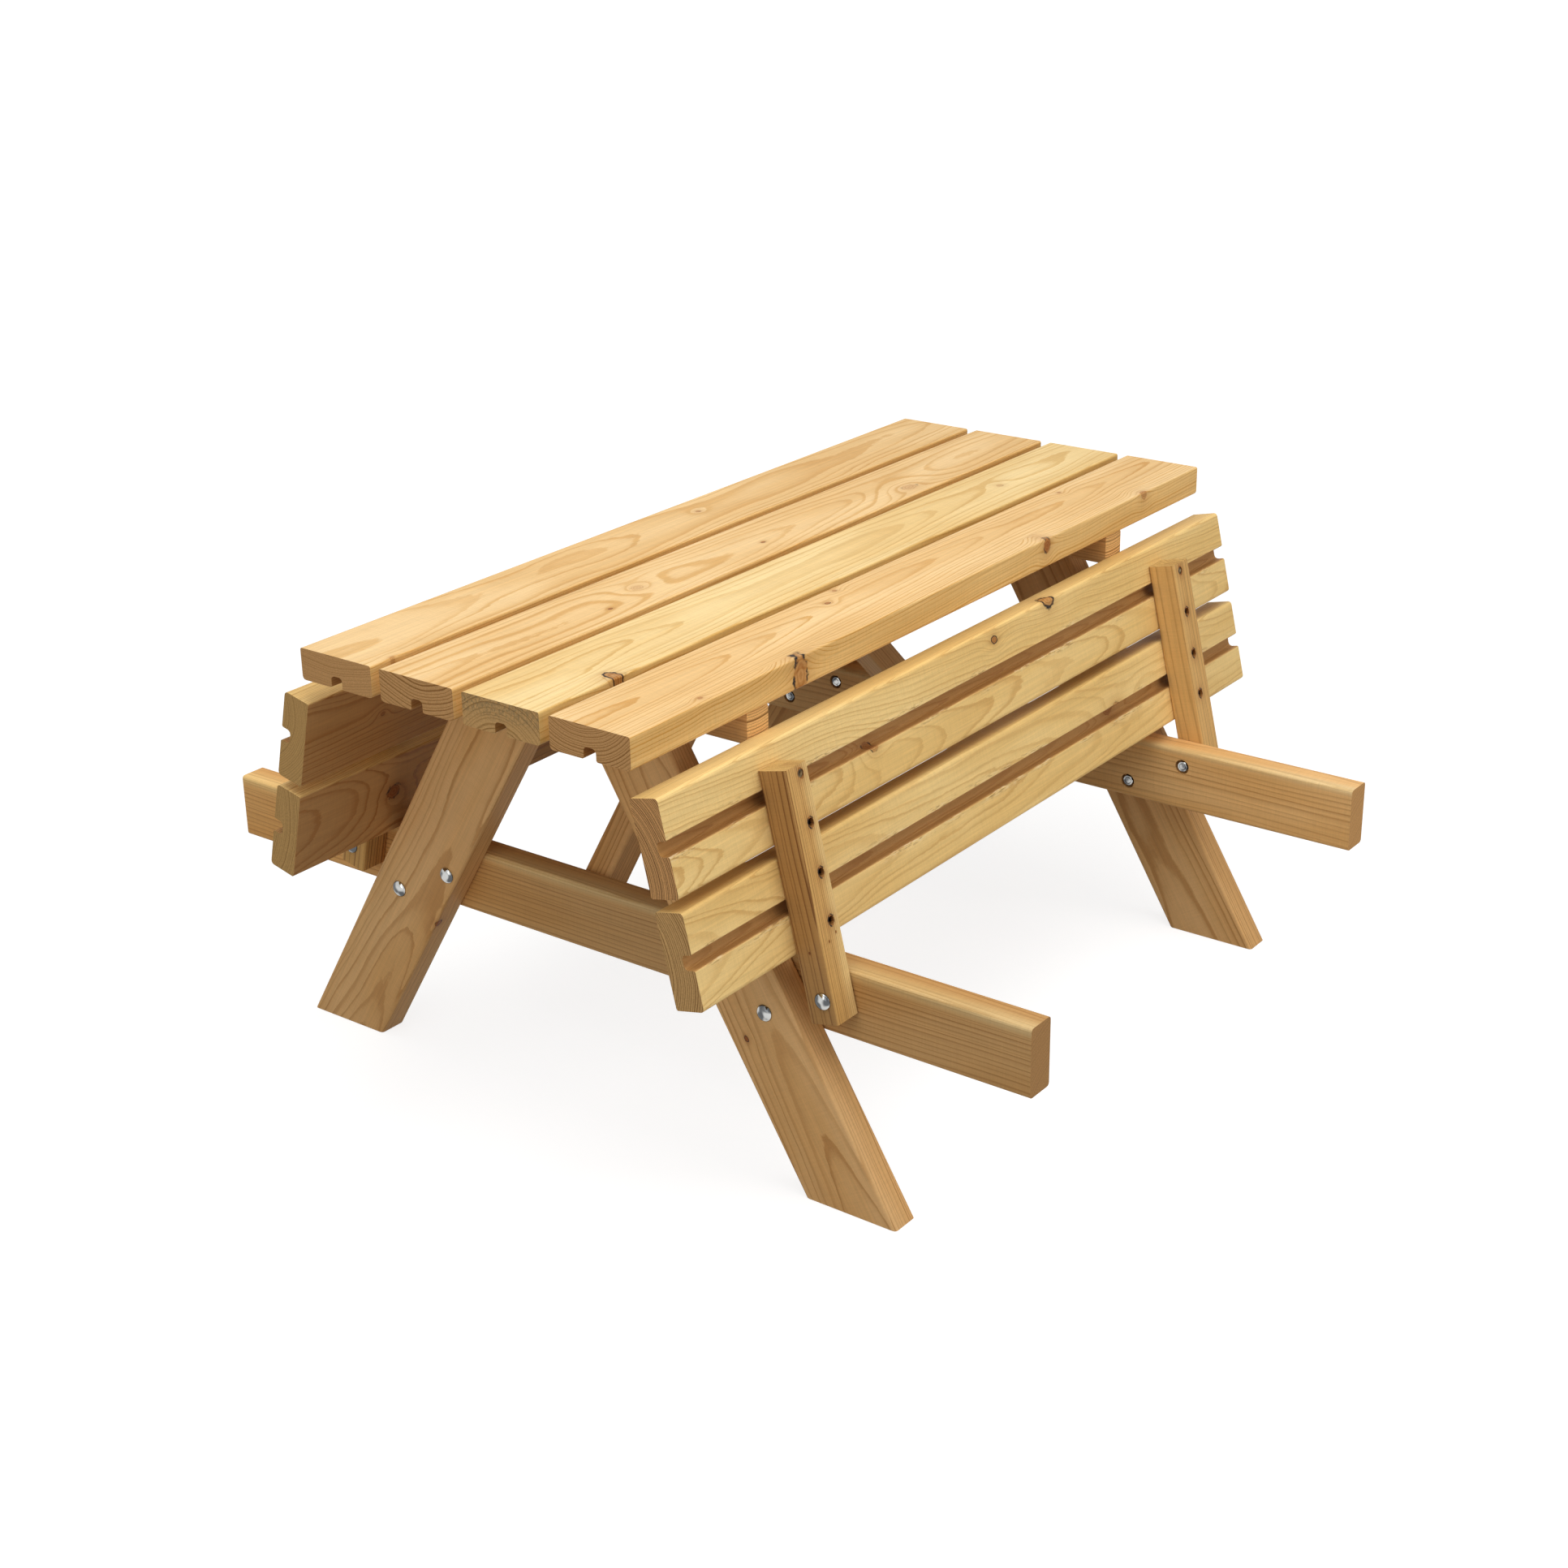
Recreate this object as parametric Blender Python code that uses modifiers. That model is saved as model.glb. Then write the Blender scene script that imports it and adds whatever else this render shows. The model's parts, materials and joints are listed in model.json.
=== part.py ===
# Kids picnic table with two benches that fold up beside its top.
# Metres, +Z up. X runs along the top, Y across it, and Z = 0 is the floor.
# The near end is at -X and the far end at +X. The left bench is at +Y, the right bench at -Y.

import math

import bmesh
import bpy
from mathutils import Matrix, Vector

OBJECT_NAME = "kids_picnic_table"

# Clearance between two pieces that touch
REST_GAP = 0.0003

# Top
TOP_LENGTH = 1.200
TOP_HEIGHT = 0.588
BOARD_COUNT = 4
BOARD_GAP = 0.0135

# Board profile, shared by the top and the seats
BOARD_WIDTH = 0.110
BOARD_THICKNESS = 0.038
FACE_ARRIS = 0.0025
UNDER_ARRIS = 0.0045
GROOVE_WIDTH = 0.017
GROOVE_DEPTH = 0.014
GROOVE_CORNER = 0.005
GROOVE_LIP = 0.0015

# End frames
FRAME_INSET = 0.160
LEG_WIDTH = 0.105
LEG_THICKNESS = 0.038
LEG_LEAN = math.radians(31.0)
LEG_TOP_FROM_CENTRE = 0.004
BEAM_LENGTH = 1.200
BEAM_DEPTH = 0.083
BEAM_THICKNESS = 0.038
TIMBER_ARRIS = 0.004

# Rails under the top
RAIL_WIDTH = 0.038
RAIL_DEPTH = 0.038
RAIL_INSET = 0.0042
MIDDLE_CLEAT_LENGTH = 0.350
SMALL_ARRIS = 0.003

# Diagonal braces
BRACE_SECTION = 0.038
BRACE_OFF_CENTRE = 0.0315
BRACE_FROM_CLEAT = 0.005

# Bench pivots. A raised bench rests its top corner on the ends of the top rails.
PIVOT_FROM_LEG = 0.0579
PIVOT_BELOW_BEAM_TOP = 0.0232
STOP_ABOVE_RAIL_UNDERSIDE = 0.0065

# Benches, measured from their pivot as they lie when folded down
SEAT_START = 0.0516
SEAT_GAP = 0.0143
CLEAT_WIDTH = 0.038
CLEAT_DEPTH = 0.038
CLEAT_BEHIND_PIVOT = 0.0274
CLEAT_END_SETBACK = 0.024

# Carriage bolts
BOLT_RADIUS = 0.004
BOLT_HEAD_RADIUS = 0.0103
BOLT_HEAD_HEIGHT = 0.0049
NECK_SIDE = 0.008
NECK_DEPTH = 0.0041
THREAD_PAST_NUT = 0.0008
WASHER_RADIUS = 0.008
WASHER_THICKNESS = 0.0016
NUT_ACROSS_FLATS = 0.013
NUT_HEIGHT = 0.0065
COUNTERBORE_RADIUS = 0.010
COUNTERBORE_DEPTH = 0.010
LEG_BOLT_SPREAD = 0.040
OUTER_BOLT_OFFSET = 0.0165
INNER_BOLT_OFFSET = -0.043

# Countersunk pockets for the wood screws
SCREW_RADIUS = 0.0025
SCREW_HEAD_RADIUS = 0.0046
SCREW_HEAD_DEPTH = 0.0034
SCREW_RECESS = 0.001
SEAT_SCREW_RECESS = 0.007
EDGE_SCREW_RECESS = 0.001
BRACE_SCREW_RECESS = 0.007
TOP_SCREW_FROM_MIDDLE = 0.028
SEAT_SCREW_BY_GAP = 0.034
SEAT_SCREW_BY_EDGE = 0.021
SEAT_SCREW_INWARD = 0.005

# Mesh steps
ROUND_STEPS = 12
HEAD_STEPS = 16
ARC_STEPS = 3
WELD_DISTANCE = 0.000005
CUTTER_OVERSHOOT = 0.012
SMOOTH_ANGLE = math.radians(40.0)
SOLVER_ROUNDS = 40

# Places worked out from the sizes
TOP_WIDTH = BOARD_COUNT * BOARD_WIDTH + (BOARD_COUNT - 1) * BOARD_GAP
TOP_UNDERSIDE = TOP_HEIGHT - BOARD_THICKNESS
CARRIER_TOP = TOP_UNDERSIDE - REST_GAP
LEG_OUTER_X = TOP_LENGTH / 2 - FRAME_INSET
LEG_X = LEG_OUTER_X - LEG_THICKNESS / 2
BEAM_OUTER_X = LEG_OUTER_X - LEG_THICKNESS - REST_GAP
BEAM_X = BEAM_OUTER_X - BEAM_THICKNESS / 2
BEAM_INNER_X = BEAM_OUTER_X - BEAM_THICKNESS
RAIL_X = BEAM_OUTER_X - RAIL_WIDTH / 2
RAIL_Z = CARRIER_TOP - RAIL_DEPTH / 2
RAIL_HALF = TOP_WIDTH / 2 - RAIL_INSET
SEAT_UNDERSIDE = PIVOT_BELOW_BEAM_TOP + REST_GAP
SEAT_END = SEAT_START + 2 * BOARD_WIDTH + SEAT_GAP
CLEAT_TOP = SEAT_UNDERSIDE - REST_GAP
CLEAT_UNDERSIDE = CLEAT_TOP - CLEAT_DEPTH


def leg_across(height):
    """How far out from the table's middle a leg's centre line runs at a height."""
    at_top = LEG_TOP_FROM_CENTRE + LEG_WIDTH / 2 / math.cos(LEG_LEAN)
    return at_top + (CARRIER_TOP - height) * math.tan(LEG_LEAN)


def bench_swing():
    """How far out and how high a bench pivots, and its lean from upright when it is raised.

    The pivot stands clear of the leg's edge, at the height where the bench's top corner
    comes to rest on the rail ends. The leg slopes, so the two are found together.
    """
    along = SEAT_END - FACE_ARRIS
    across = SEAT_UNDERSIDE + BOARD_THICKNESS - FACE_ARRIS
    radius = math.hypot(along, across)
    corner_height = CARRIER_TOP - RAIL_DEPTH + STOP_ABOVE_RAIL_UNDERSIDE
    height = CARRIER_TOP / 2
    for _ in range(SOLVER_ROUNDS):
        leg_edge = leg_across(height) + LEG_WIDTH / 2 / math.cos(LEG_LEAN)
        out = leg_edge + PIVOT_FROM_LEG
        reach = out - RAIL_HALF - REST_GAP - FACE_ARRIS
        height = corner_height - math.sqrt(radius**2 - reach**2)
    return out, height, math.asin(reach / radius) - math.atan2(across, along)


PIVOT_OUT, PIVOT_Z, BENCH_LEAN = bench_swing()
FOLD = math.pi / 2 + BENCH_LEAN
BEAM_Z = PIVOT_Z + PIVOT_BELOW_BEAM_TOP - BEAM_DEPTH / 2

ENDS = {"near": -1, "far": 1}
SIDES = {"left": 1, "right": -1}


def clear_scene():
    for item in list(bpy.data.objects):
        bpy.data.objects.remove(item, do_unlink=True)


def new_collection(name):
    group = bpy.data.collections.new(name)
    bpy.context.scene.collection.children.link(group)
    return group


def new_material(name, colour, roughness, metallic=0.0):
    material = bpy.data.materials.new(name)
    material.use_nodes = True
    shader = material.node_tree.nodes["Principled BSDF"]
    shader.inputs["Base Color"].default_value = (*colour, 1.0)
    shader.inputs["Roughness"].default_value = roughness
    shader.inputs["Metallic"].default_value = metallic
    return material


clear_scene()
PARTS = new_collection(OBJECT_NAME)
CUTTERS = new_collection(OBJECT_NAME + "_cutters")

TOP_WOOD = new_material("top_wood", (0.66, 0.45, 0.24), 0.6)
LEG_WOOD = new_material("leg_wood", (0.42, 0.25, 0.11), 0.65)
BEAM_WOOD = new_material("beam_wood", (0.55, 0.34, 0.15), 0.6)
SEAT_WOOD = new_material("seat_wood", (0.62, 0.42, 0.18), 0.6)
ZINC = new_material("zinc", (0.62, 0.62, 0.60), 0.3, 1.0)


def evaluated_mesh(item):
    """The mesh of an object with its modifiers applied, in the object's own space."""
    bpy.context.view_layer.update()
    graph = bpy.context.evaluated_depsgraph_get()
    return bpy.data.meshes.new_from_object(item.evaluated_get(graph), depsgraph=graph)


def weld(mesh):
    body = bmesh.new()
    body.from_mesh(mesh)
    bmesh.ops.remove_doubles(body, verts=body.verts, dist=WELD_DISTANCE)
    body.to_mesh(mesh)
    body.free()
    return mesh


def temporary_object(data):
    item = bpy.data.objects.new("temporary", data)
    CUTTERS.objects.link(item)
    return item


def add_part(name, mesh, material, parent=None):
    """Put a mesh in the scene as a named sub-part, smooth between its sharp edges."""
    mesh.name = name
    mesh.materials.clear()
    mesh.materials.append(material)
    mesh.shade_smooth()
    mesh.set_sharp_from_angle(angle=SMOOTH_ANGLE)
    item = bpy.data.objects.new(name, mesh)
    PARTS.objects.link(item)
    item.parent = parent
    return item


def arc(centre, radius, start, end, steps=ARC_STEPS):
    """Points on an arc, with the angles in degrees."""
    points = []
    for step in range(steps + 1):
        angle = math.radians(start + (end - start) * step / steps)
        points.append((centre[0] + radius * math.cos(angle), centre[1] + radius * math.sin(angle)))
    return points


def extruded_outline(loops, length):
    """A prism of flat outlines in XY, run along Z and centred on it. Inner loops are holes."""
    curve = bpy.data.curves.new("outline", "CURVE")
    curve.dimensions = "2D"
    curve.fill_mode = "BOTH"
    curve.extrude = length / 2
    for points in loops:
        spline = curve.splines.new("POLY")
        spline.points.add(len(points) - 1)
        for point, (x, y) in zip(spline.points, points):
            point.co = (x, y, 0.0, 1.0)
        spline.use_cyclic_u = True
    item = temporary_object(curve)
    mesh = weld(evaluated_mesh(item))
    bpy.data.objects.remove(item, do_unlink=True)
    return mesh


def turned(profile, steps):
    """A solid of revolution about Z from (radius, z) points that run from top to bottom."""
    mesh = bpy.data.meshes.new("profile")
    points = [(radius, 0.0, z) for radius, z in profile]
    edges = [(index, index + 1) for index in range(len(points) - 1)]
    mesh.from_pydata(points, edges, [])
    item = temporary_object(mesh)
    screw = item.modifiers.new("turn", "SCREW")
    screw.steps = steps
    screw.render_steps = steps
    screw.use_merge_vertices = True
    screw.merge_threshold = WELD_DISTANCE
    result = weld(evaluated_mesh(item))
    bpy.data.objects.remove(item, do_unlink=True)
    return result


def box(size, centre):
    """A block with its sides along the axes."""
    mesh = bpy.data.meshes.new("box")
    body = bmesh.new()
    bmesh.ops.create_cube(body, size=1.0)
    bmesh.ops.scale(body, vec=Vector(size), verts=body.verts)
    bmesh.ops.translate(body, vec=Vector(centre), verts=body.verts)
    body.to_mesh(mesh)
    body.free()
    return mesh


def fused(first, second):
    """One closed mesh from two that overlap."""
    base = temporary_object(first)
    extra = temporary_object(second)
    union = base.modifiers.new("fuse", "BOOLEAN")
    union.operation = "UNION"
    union.solver = "EXACT"
    union.object = extra
    result = weld(evaluated_mesh(base))
    bpy.data.objects.remove(base, do_unlink=True)
    bpy.data.objects.remove(extra, do_unlink=True)
    return result


def timber(size, arris):
    """A squared length of timber with rounded edges along its longest side."""
    mesh = box(size, (0.0, 0.0, 0.0))
    long_axis = max(range(3), key=lambda axis: size[axis])
    body = bmesh.new()
    body.from_mesh(mesh)
    edges = []
    for edge in body.edges:
        run = edge.verts[0].co - edge.verts[1].co
        if abs(run[long_axis]) > size[long_axis] / 2:
            edges.append(edge)
    bmesh.ops.bevel(body, geom=edges, offset=arris, segments=ARC_STEPS, profile=0.5, affect="EDGES")
    body.to_mesh(mesh)
    body.free()
    return mesh


def saw(item, point, normal):
    """Cut a part along a plane given in world space and drop what the normal points to."""
    bpy.context.view_layer.update()
    to_local = item.matrix_world.inverted()
    body = bmesh.new()
    body.from_mesh(item.data)
    bmesh.ops.bisect_plane(
        body,
        geom=body.verts[:] + body.edges[:] + body.faces[:],
        plane_co=to_local @ Vector(point),
        plane_no=to_local.to_3x3() @ Vector(normal),
        clear_outer=True,
    )
    open_edges = [edge for edge in body.edges if edge.is_boundary]
    bmesh.ops.holes_fill(body, edges=open_edges, sides=0)
    bmesh.ops.recalc_face_normals(body, faces=body.faces)
    body.to_mesh(item.data)
    body.free()


def copies(mesh, places):
    """One mesh that holds a copy of another at each place."""
    result = bpy.data.meshes.new(mesh.name)
    body = bmesh.new()
    for place in places:
        moved = mesh.copy()
        moved.transform(place)
        body.from_mesh(moved)
        bpy.data.meshes.remove(moved)
    body.to_mesh(result)
    body.free()
    return result


def drill(item, mesh, places):
    """Cut a hole shape out of a part at each place, given in world space."""
    cutter = bpy.data.objects.new(item.name + "_holes", copies(mesh, places))
    CUTTERS.objects.link(cutter)
    cutter.hide_render = True
    cutter.display_type = "WIRE"
    cut = item.modifiers.new(cutter.name, "BOOLEAN")
    cut.operation = "DIFFERENCE"
    cut.solver = "EXACT"
    cut.object = cutter


def board_mesh():
    """A grooved board: its width along X, its smooth face up +Y, its length along Z."""
    half = BOARD_WIDTH / 2
    top = BOARD_THICKNESS / 2
    bottom = -top
    groove = GROOVE_WIDTH / 2
    roof = bottom + GROOVE_DEPTH
    corner = GROOVE_CORNER
    lip = GROOVE_LIP
    outline = []
    outline += arc((half - FACE_ARRIS, top - FACE_ARRIS), FACE_ARRIS, 0, 90)
    outline += arc((-half + FACE_ARRIS, top - FACE_ARRIS), FACE_ARRIS, 90, 180)
    outline += arc((-half + UNDER_ARRIS, bottom + UNDER_ARRIS), UNDER_ARRIS, 180, 270)
    outline += arc((-groove - lip, bottom + lip), lip, -90, 0, steps=1)
    outline += arc((-groove + corner, roof - corner), corner, 180, 90)
    outline += arc((groove - corner, roof - corner), corner, 90, 0)
    outline += arc((groove + lip, bottom + lip), lip, 180, 270, steps=1)
    outline += arc((half - UNDER_ARRIS, bottom + UNDER_ARRIS), UNDER_ARRIS, -90, 0)
    return extruded_outline([outline], TOP_LENGTH)


def screw_pocket_mesh():
    """The pocket that a countersunk screw head leaves, with the head's flat at Z = 0."""
    profile = [
        (0.0, CUTTER_OVERSHOOT),
        (SCREW_HEAD_RADIUS + REST_GAP, CUTTER_OVERSHOOT),
        (SCREW_HEAD_RADIUS + REST_GAP, 0.0),
        (SCREW_RADIUS + REST_GAP, -SCREW_HEAD_DEPTH),
        (0.0, -SCREW_HEAD_DEPTH),
    ]
    return turned(profile, ROUND_STEPS)


def bolt_grip(carrier):
    """The timber between a bolt's head and its washer."""
    return carrier + REST_GAP + BEAM_THICKNESS - COUNTERBORE_DEPTH


def bolt_mesh(carrier):
    """A carriage bolt: a domed head above Z = 0, a square neck and a round shank below."""
    stack = WASHER_THICKNESS + NUT_HEIGHT + 2 * REST_GAP
    length = bolt_grip(carrier) + REST_GAP + stack + THREAD_PAST_NUT
    dome = [(0.0, BOLT_HEAD_HEIGHT)]
    for angle in (68, 46, 24, 0):
        across = BOLT_HEAD_RADIUS * math.cos(math.radians(angle))
        rise = BOLT_HEAD_HEIGHT * math.sin(math.radians(angle))
        dome.append((across, rise))
    dome += [(0.0, 0.0)]
    head = turned(dome, HEAD_STEPS)
    overlap = BOLT_HEAD_HEIGHT / 3
    rod = [(0.0, overlap), (BOLT_RADIUS, overlap), (BOLT_RADIUS, -length), (0.0, -length)]
    shank = turned(rod, ROUND_STEPS)
    neck_size = (NECK_SIDE, NECK_SIDE, NECK_DEPTH + overlap)
    neck = box(neck_size, (0.0, 0.0, (overlap - NECK_DEPTH) / 2))
    return fused(fused(head, shank), neck)


def bolt_hole_mesh(carrier):
    """The hole for that bolt, through both timbers, with its counterbore at the far end."""
    radius = BOLT_RADIUS + REST_GAP
    side = NECK_SIDE + 2 * REST_GAP
    depth = NECK_DEPTH + REST_GAP
    floor = -bolt_grip(carrier) - REST_GAP
    bore = [
        (0.0, CUTTER_OVERSHOOT),
        (radius, CUTTER_OVERSHOOT),
        (radius, floor),
        (COUNTERBORE_RADIUS, floor),
        (COUNTERBORE_RADIUS, floor - COUNTERBORE_DEPTH - CUTTER_OVERSHOOT),
        (0.0, floor - COUNTERBORE_DEPTH - CUTTER_OVERSHOOT),
    ]
    rise = CUTTER_OVERSHOOT / 2
    neck = box((side, side, depth + rise), (0.0, 0.0, (rise - depth) / 2))
    return fused(turned(bore, HEAD_STEPS), neck)


def washer_mesh():
    """A flat washer centred on Z."""
    inner = arc((0.0, 0.0), BOLT_RADIUS + REST_GAP, 0, 360, ROUND_STEPS)[:-1]
    outer = arc((0.0, 0.0), WASHER_RADIUS, 0, 360, HEAD_STEPS)[:-1]
    return extruded_outline([outer, inner], WASHER_THICKNESS)


def nut_mesh():
    """A hexagon nut centred on Z."""
    inner = arc((0.0, 0.0), BOLT_RADIUS + REST_GAP, 0, 360, ROUND_STEPS)[:-1]
    outer = arc((0.0, 0.0), NUT_ACROSS_FLATS / 2 / math.cos(math.radians(30)), 0, 360, 6)[:-1]
    return extruded_outline([outer, inner], NUT_HEIGHT)


def along_x(end, x, y, z):
    """A place with its own +Z turned to point out of the table's near or far end."""
    return Matrix.Translation((x, y, z)) @ Matrix.Rotation(end * math.pi / 2, 4, "Y")


def head_down(x, y, z):
    """A place with its own +Z turned to point down."""
    return Matrix.Translation((x, y, z)) @ Matrix.Rotation(math.pi, 4, "X")


def board_across(index):
    """The distance of a top board's middle from the table's middle, counted from the left."""
    return TOP_WIDTH / 2 - BOARD_WIDTH / 2 - index * (BOARD_WIDTH + BOARD_GAP)


def brace_angle():
    """The rise of a brace from level, between the beam's middle and the middle cleat."""
    rise = CARRIER_TOP - BEAM_Z
    angle = math.pi / 4
    for _ in range(SOLVER_ROUNDS):
        half_cut = BRACE_SECTION / 2 / math.sin(angle)
        run = BEAM_INNER_X - RAIL_WIDTH / 2 - BRACE_FROM_CLEAT - half_cut
        angle = math.atan2(rise, run)
    return angle


BRACE_RISE = brace_angle()

# Meshes that many sub-parts share
BOARD = board_mesh()
WASHER = washer_mesh()
NUT = nut_mesh()
LEG_BOLT = bolt_mesh(LEG_THICKNESS)
PIVOT_BOLT = bolt_mesh(CLEAT_WIDTH)
LEG_BOLT_HOLE = bolt_hole_mesh(LEG_THICKNESS)
PIVOT_BOLT_HOLE = bolt_hole_mesh(CLEAT_WIDTH)
SCREW_POCKET = screw_pocket_mesh()


def top_board(index):
    item = add_part(f"top_board_{index + 1}", BOARD.copy(), TOP_WOOD)
    item.location = (0.0, board_across(index), TOP_UNDERSIDE + BOARD_THICKNESS / 2)
    item.rotation_euler = (math.pi / 2, 0.0, math.pi / 2)


def leg(end_name, side_name):
    end = ENDS[end_name]
    side = SIDES[side_name]
    length = CARRIER_TOP / math.cos(LEG_LEAN) + 2 * LEG_WIDTH
    mesh = timber((LEG_THICKNESS, LEG_WIDTH, length), TIMBER_ARRIS)
    item = add_part(f"{end_name}_{side_name}_leg", mesh, LEG_WOOD)
    item.location = (end * LEG_X, side * leg_across(CARRIER_TOP / 2), CARRIER_TOP / 2)
    item.rotation_euler.x = side * LEG_LEAN
    saw(item, (0.0, 0.0, CARRIER_TOP), (0.0, 0.0, 1.0))
    saw(item, (0.0, 0.0, 0.0), (0.0, 0.0, -1.0))
    return item


def seat_beam(end_name):
    mesh = timber((BEAM_THICKNESS, BEAM_LENGTH, BEAM_DEPTH), TIMBER_ARRIS)
    item = add_part(f"{end_name}_seat_beam", mesh, BEAM_WOOD)
    item.location = (ENDS[end_name] * BEAM_X, 0.0, BEAM_Z)
    return item


def rail(name, x, length):
    item = add_part(name, timber((RAIL_WIDTH, length, RAIL_DEPTH), SMALL_ARRIS), BEAM_WOOD)
    item.location = (x, 0.0, RAIL_Z)
    return item


def brace_foot(end):
    """The middle of a brace's sawn foot, on the beam's inner face."""
    return Vector((end * (BEAM_INNER_X - REST_GAP), BRACE_OFF_CENTRE, BEAM_Z))


def brace_head(end):
    """The middle of a brace's sawn head, under the top."""
    foot = brace_foot(end)
    rise = CARRIER_TOP - foot.z
    return Vector((foot.x - end * rise / math.tan(BRACE_RISE), foot.y, CARRIER_TOP))


def brace(end_name):
    end = ENDS[end_name]
    foot = brace_foot(end)
    head = brace_head(end)
    length = (head - foot).length + 4 * BRACE_SECTION
    mesh = timber((length, BRACE_SECTION, BRACE_SECTION), SMALL_ARRIS)
    item = add_part(f"{end_name}_brace", mesh, BEAM_WOOD)
    item.location = (head + foot) / 2
    item.rotation_euler.y = end * BRACE_RISE
    saw(item, head, (0.0, 0.0, 1.0))
    saw(item, foot, (end, 0.0, 0.0))
    return item


def bench_pivot(side_name):
    """The empty on a bench's joint axis. The bench is modelled flat and turned up with it."""
    side = SIDES[side_name]
    pivot = bpy.data.objects.new(f"{side_name}_bench_pivot", None)
    PARTS.objects.link(pivot)
    pivot.location = (0.0, side * PIVOT_OUT, PIVOT_Z)
    pivot.rotation_euler.x = side * FOLD
    bpy.context.view_layer.update()
    return pivot


def seat_board_middle(index):
    return SEAT_START + BOARD_WIDTH / 2 + index * (BOARD_WIDTH + SEAT_GAP)


def seat_boards(side_name, pivot):
    for index, place in enumerate(("inner", "outer")):
        item = add_part(f"{side_name}_seat_board_{place}", BOARD.copy(), SEAT_WOOD, pivot)
        across = SIDES[side_name] * seat_board_middle(index)
        item.location = (0.0, across, SEAT_UNDERSIDE + BOARD_THICKNESS / 2)
        item.rotation_euler = (math.pi / 2, 0.0, math.pi / 2)


def seat_cleat(end_name, side_name, pivot):
    start = -CLEAT_BEHIND_PIVOT
    stop = SEAT_END - CLEAT_END_SETBACK
    mesh = timber((CLEAT_WIDTH, stop - start, CLEAT_DEPTH), SMALL_ARRIS)
    item = add_part(f"{side_name}_{end_name}_seat_cleat", mesh, SEAT_WOOD, pivot)
    x = ENDS[end_name] * (LEG_OUTER_X - LEG_THICKNESS + CLEAT_WIDTH / 2)
    y = SIDES[side_name] * (start + stop) / 2
    item.location = (x, y, CLEAT_TOP - CLEAT_DEPTH / 2)
    return item


def hardware(name, bolt, carrier, place, parent=None):
    """A bolt, its washer and its nut, at a place on the outer face of the timber it carries."""
    grip = bolt_grip(carrier)
    pieces = {
        "bolt": (bolt, REST_GAP),
        "washer": (WASHER, -grip - REST_GAP - WASHER_THICKNESS / 2),
        "nut": (NUT, -grip - 2 * REST_GAP - WASHER_THICKNESS - NUT_HEIGHT / 2),
    }
    for piece, (mesh, shift) in pieces.items():
        item = add_part(f"{name}_{piece}", mesh.copy(), ZINC, parent)
        item.matrix_local = place @ Matrix.Translation((0.0, 0.0, shift))


def leg_bolt_place(end, side, offset, rise):
    z = BEAM_Z + rise * LEG_BOLT_SPREAD / 2
    return along_x(end, end * LEG_OUTER_X, side * (leg_across(z) + offset), z)


def pivot_bolt_place(end, y=0.0, z=0.0):
    """A pivot bolt's place at the cleat's outer face, by default in its bench's own space."""
    return along_x(end, end * (LEG_OUTER_X - LEG_THICKNESS + CLEAT_WIDTH), y, z)


def top_screw_places(x, reach):
    """Screws up through a rail, two to a board where the rail reaches that far."""
    places = []
    for index in range(BOARD_COUNT):
        for shift in (-TOP_SCREW_FROM_MIDDLE, TOP_SCREW_FROM_MIDDLE):
            y = board_across(index) + shift
            if abs(y) + 2 * SCREW_HEAD_RADIUS < reach:
                places.append(head_down(x, y, CARRIER_TOP - RAIL_DEPTH + SCREW_RECESS))
    return places


def rail_screw_places(end):
    """Screws from a rail's inner face into the two legs behind it."""
    x = end * (BEAM_OUTER_X - RAIL_WIDTH + SCREW_RECESS)
    places = []
    for side in SIDES.values():
        for shift in (-LEG_WIDTH / 4, LEG_WIDTH / 4):
            y = side * (leg_across(RAIL_Z) + shift)
            places.append(along_x(-end, x, y, RAIL_Z))
    return places


def brace_screw_places(end):
    """One screw level into the beam and one upright into the top board above."""
    half_cut = BRACE_SECTION / 2 / math.sin(BRACE_RISE)
    half_foot = BRACE_SECTION / 2 / math.cos(BRACE_RISE)
    foot = brace_foot(end)
    head = brace_head(end)
    inward = half_foot / math.tan(BRACE_RISE) - BRACE_SCREW_RECESS
    down = half_cut * math.tan(BRACE_RISE) - BRACE_SCREW_RECESS
    level = along_x(-end, foot.x - end * inward, foot.y, foot.z)
    upright = head_down(head.x, head.y, head.z - down)
    return [level, upright]


def seat_screw_places(end, side):
    """Screws up through a cleat into both seat boards, in the bench's own space."""
    x = end * (LEG_OUTER_X - LEG_THICKNESS + CLEAT_WIDTH / 2 - SEAT_SCREW_INWARD)
    screws = (
        (0, -SEAT_SCREW_BY_EDGE, SEAT_SCREW_RECESS),
        (0, SEAT_SCREW_BY_GAP, SEAT_SCREW_RECESS),
        (1, -SEAT_SCREW_BY_GAP, SEAT_SCREW_RECESS),
        (1, SEAT_SCREW_BY_EDGE, EDGE_SCREW_RECESS),
    )
    places = []
    for index, shift, recess in screws:
        y = side * (seat_board_middle(index) + shift)
        places.append(head_down(x, y, CLEAT_UNDERSIDE + recess))
    return places


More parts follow.
